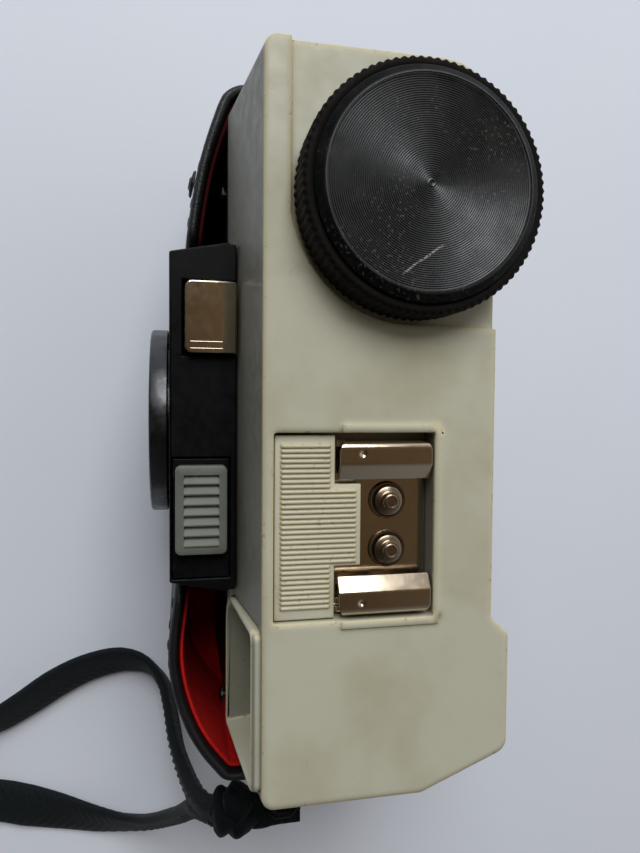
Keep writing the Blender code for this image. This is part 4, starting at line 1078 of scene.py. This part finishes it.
def lace_rows(route, sides, width, thick, relief, narrow=()):
    """Sections of a flat woven lace along a route, each with rounded edges and woven relief.

    Where the lace is narrow, from 0 to 1, it is drawn together and thicker.
    """
    rows = []
    travelled = 0.0
    for i, (point, side, ahead) in enumerate(zip(route, sides, tangents(route))):
        if i:
            travelled += (point - route[i - 1]).length
        up = side.cross(ahead).normalized()
        drawn = narrow[i] if narrow else 0.0
        wide, high = width / 2 * (1 - 0.45 * drawn), thick / 2 * (1 + 0.5 * drawn)
        woven = relief * (1 - 0.85 * side.z ** 2)
        row = []
        for angle in turn_angles(44):
            cosine, sine = math.cos(angle), math.sin(angle)
            across = math.copysign(abs(cosine) ** 0.72, cosine)
            lift = math.copysign(abs(sine) ** 0.85, sine)
            swell = woven * (braid(across * width / STRAP_WIDTH, travelled) - 0.6) * (1 - across ** 2)
            spot = point + side * across * wide + up * lift * (high + swell)
            spot.z = max(spot.z, 0.06 + 0.04 * lift)
            row.append(spot)
        rows.append(row)
    return rows


def build_strap():
    """Flat woven lace: one strand leans on its edge, the other lies flat, and both run into the knot."""
    numbers = []
    route = smooth_route((INTO_KNOT[0], *STRAP_ROUTE, INTO_KNOT[1]), 0.4, numbers)
    sides = []
    for aim, number in zip(tangents(route), numbers):
        edge = between(LACE_EDGE, number - 1)
        sides.append((edge - aim * edge.dot(aim)).normalized())
    travelled = [0.0]
    for a, b in zip(route, route[1:]):
        travelled.append(travelled[-1] + (b - a).length)
    length = travelled[-1]
    narrow = [max(0.0, 1 - along / NARROW_ENDS[0], 1 - (length - along) / NARROW_ENDS[1])
              for along in travelled]
    shape = bmesh.new()
    add_grid(shape, lace_rows(route, sides, STRAP_WIDTH, STRAP_THICK, STRAP_RELIEF, narrow), caps=True)
    lace = piece("lace_woven", shape, "lace", "camera", "strap", smooth_below=70.0)
    knot = build_knot()


def build_knot():
    """The lace pulled into a tight knot, and its two strands round the lug."""
    low, high = limits("strap_knot")
    centre = Vector(((low.x + high.x) / 2, low.y + KNOT_RADII[1], (low.z + high.z) / 2))
    radii = Vector(KNOT_RADII) - Vector((1.2, 1.2, 1.1))
    route = []
    for t in turn_angles(180):
        bend = Vector((math.sin(t) + 2 * math.sin(2 * t), math.cos(t) - 2 * math.cos(2 * t),
                       -3 * math.sin(3 * t)))
        route.append(centre + Vector([bend[i] / 3 * radii[i] for i in range(3)]))
    aims = tangents(route, closed=True)
    sides = [(p - centre).cross(t).normalized() for p, t in zip(route, aims)]
    shape = bmesh.new()
    add_grid(shape, lace_rows(route, sides, 5.2, 2.3, 0.22), wrap_rows=True)
    core = [[centre + Vector((math.cos(a) * math.cos(b) * 2.9, math.sin(a) * math.cos(b) * 2.7,
                              math.sin(b) * 2.5)) for a in turn_angles(24)]
            for b in (math.pi * n / 12 for n in range(-5, 6))]
    add_grid(shape, core, caps=True)
    lug_low, lug_high = limits("strap_lug")
    height = (lug_low.z + lug_high.z) / 2 - 1.2
    for shift in (-1.0, 1.0):
        ends = [centre + Vector((shift * 0.9, 1.0, 0.4)), centre + Vector((shift * 1.1, 4.0, 1.2)),
                Vector((lug_high.x - 0.9 + shift * 0.7, lug_low.y + 1.6, height)),
                Vector((lug_high.x - 0.8 + shift * 0.4, lug_high.y + 0.1, height + 0.2))]
        strand = smooth_route(ends, 0.4)
        flat = [Vector((0.2, 0.0, 1.0)).cross(t).normalized() for t in tangents(strand)]
        add_grid(shape, lace_rows(strand, flat, 3.8, 2.6, 0.14), caps=True)
    return piece("lace_knotted", shape, "knot", "camera", "strap_knot", smooth_below=75.0)


# ---------------- CAD nodes that stay

# The look of each node, and how wide its rounded edges are.
FINISHES = {
    "cover": {"top_cover": 0.17},
    "putty": {"finder_hood": 0.42},
    "black": {"lower_body": 0.4, "base_plate": 0.3, "rear_cover": 0.35, "lens_block": 0.28,
              "switch_panel": 0.12, "eyepiece_frame": 0.2, "finder_tube": 0.0, "light_chamber": 0.0,
              "film_gate": 0.0, "takeup_spool": 0.0, "sprocket_roller": 0.0, "rewind_knob": 0.12,
              "rewind_fork": 0.0, "strap_lug": 0.2},
    "ring": {"front_barrel": 0.15, "rear_barrel": 0.0, "retaining_ring": 0.12, "shutter_plate": 0.0,
             "shutter_blade_a": 0.0, "shutter_blade_b": 0.0, "pressure_plate": 0.0},
    "steel": {"wheel_shaft": 0.0, "pressure_spring": 0.0, "button_bracket": 0.0, "case_screw": 0.15,
              **{f"base_screw_{i}": 0.0 for i in range(1, 5)}},
    "dull": {"case_snap_stud": 0.0, "front_screw_1": 0.0, "front_screw_2": 0.0},
    "brass": {"wheel_bush": 0.0, "wheel_gear": 0.0, "sprocket_gear": 0.0, "tripod_bush": 0.0},
    "pane": {"finder_window": 0.12},
    "glass": {"finder_eyepiece": 0.1, "front_element": 0.0, "rear_element": 0.0},
}


def dress(node, look, width):
    """Gives a CAD node its look, and rounds its edges with modifiers that leave its vertices alone."""
    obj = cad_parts[node]
    for slot in obj.material_slots:
        slot.material = LOOKS[look]
    if not width:
        return
    mesh = obj.data
    if "custom_normal" in mesh.attributes:
        mesh.attributes.remove(mesh.attributes["custom_normal"])
    mesh.shade_smooth()
    weld = obj.modifiers.new("weld", "WELD")
    weld.merge_threshold = 1e-6
    flat = obj.modifiers.new("flat", "DECIMATE")
    flat.decimate_type = "DISSOLVE"
    flat.angle_limit = math.radians(0.6)
    bevel = obj.modifiers.new("bevel", "BEVEL")
    bevel.width = width * MM
    bevel.segments = 3
    bevel.angle_limit = math.radians(30)
    bevel.use_clamp_overlap = False
    even = obj.modifiers.new("even", "WEIGHTED_NORMAL")
    even.weight = 100


def dress_all():
    for look, nodes in FINISHES.items():
        for node, width in nodes.items():
            dress(node, look, width)


# ---------------- floor

def build_floor():
    bpy.ops.mesh.primitive_grid_add(x_subdivisions=4, y_subdivisions=4, size=1.6, location=(0.0, 0.0, 0.0))
    paper = bpy.context.object
    paper.name = "paper"
    paper.data.materials.append(floor_look())


build_stage()
build_strap()
build_floor()
build_wheel()
build_shoe()
build_ribbed_plate()
build_button()
build_button_spring()
build_switch()
build_lens_rings()
build_half_case()
dress_all()
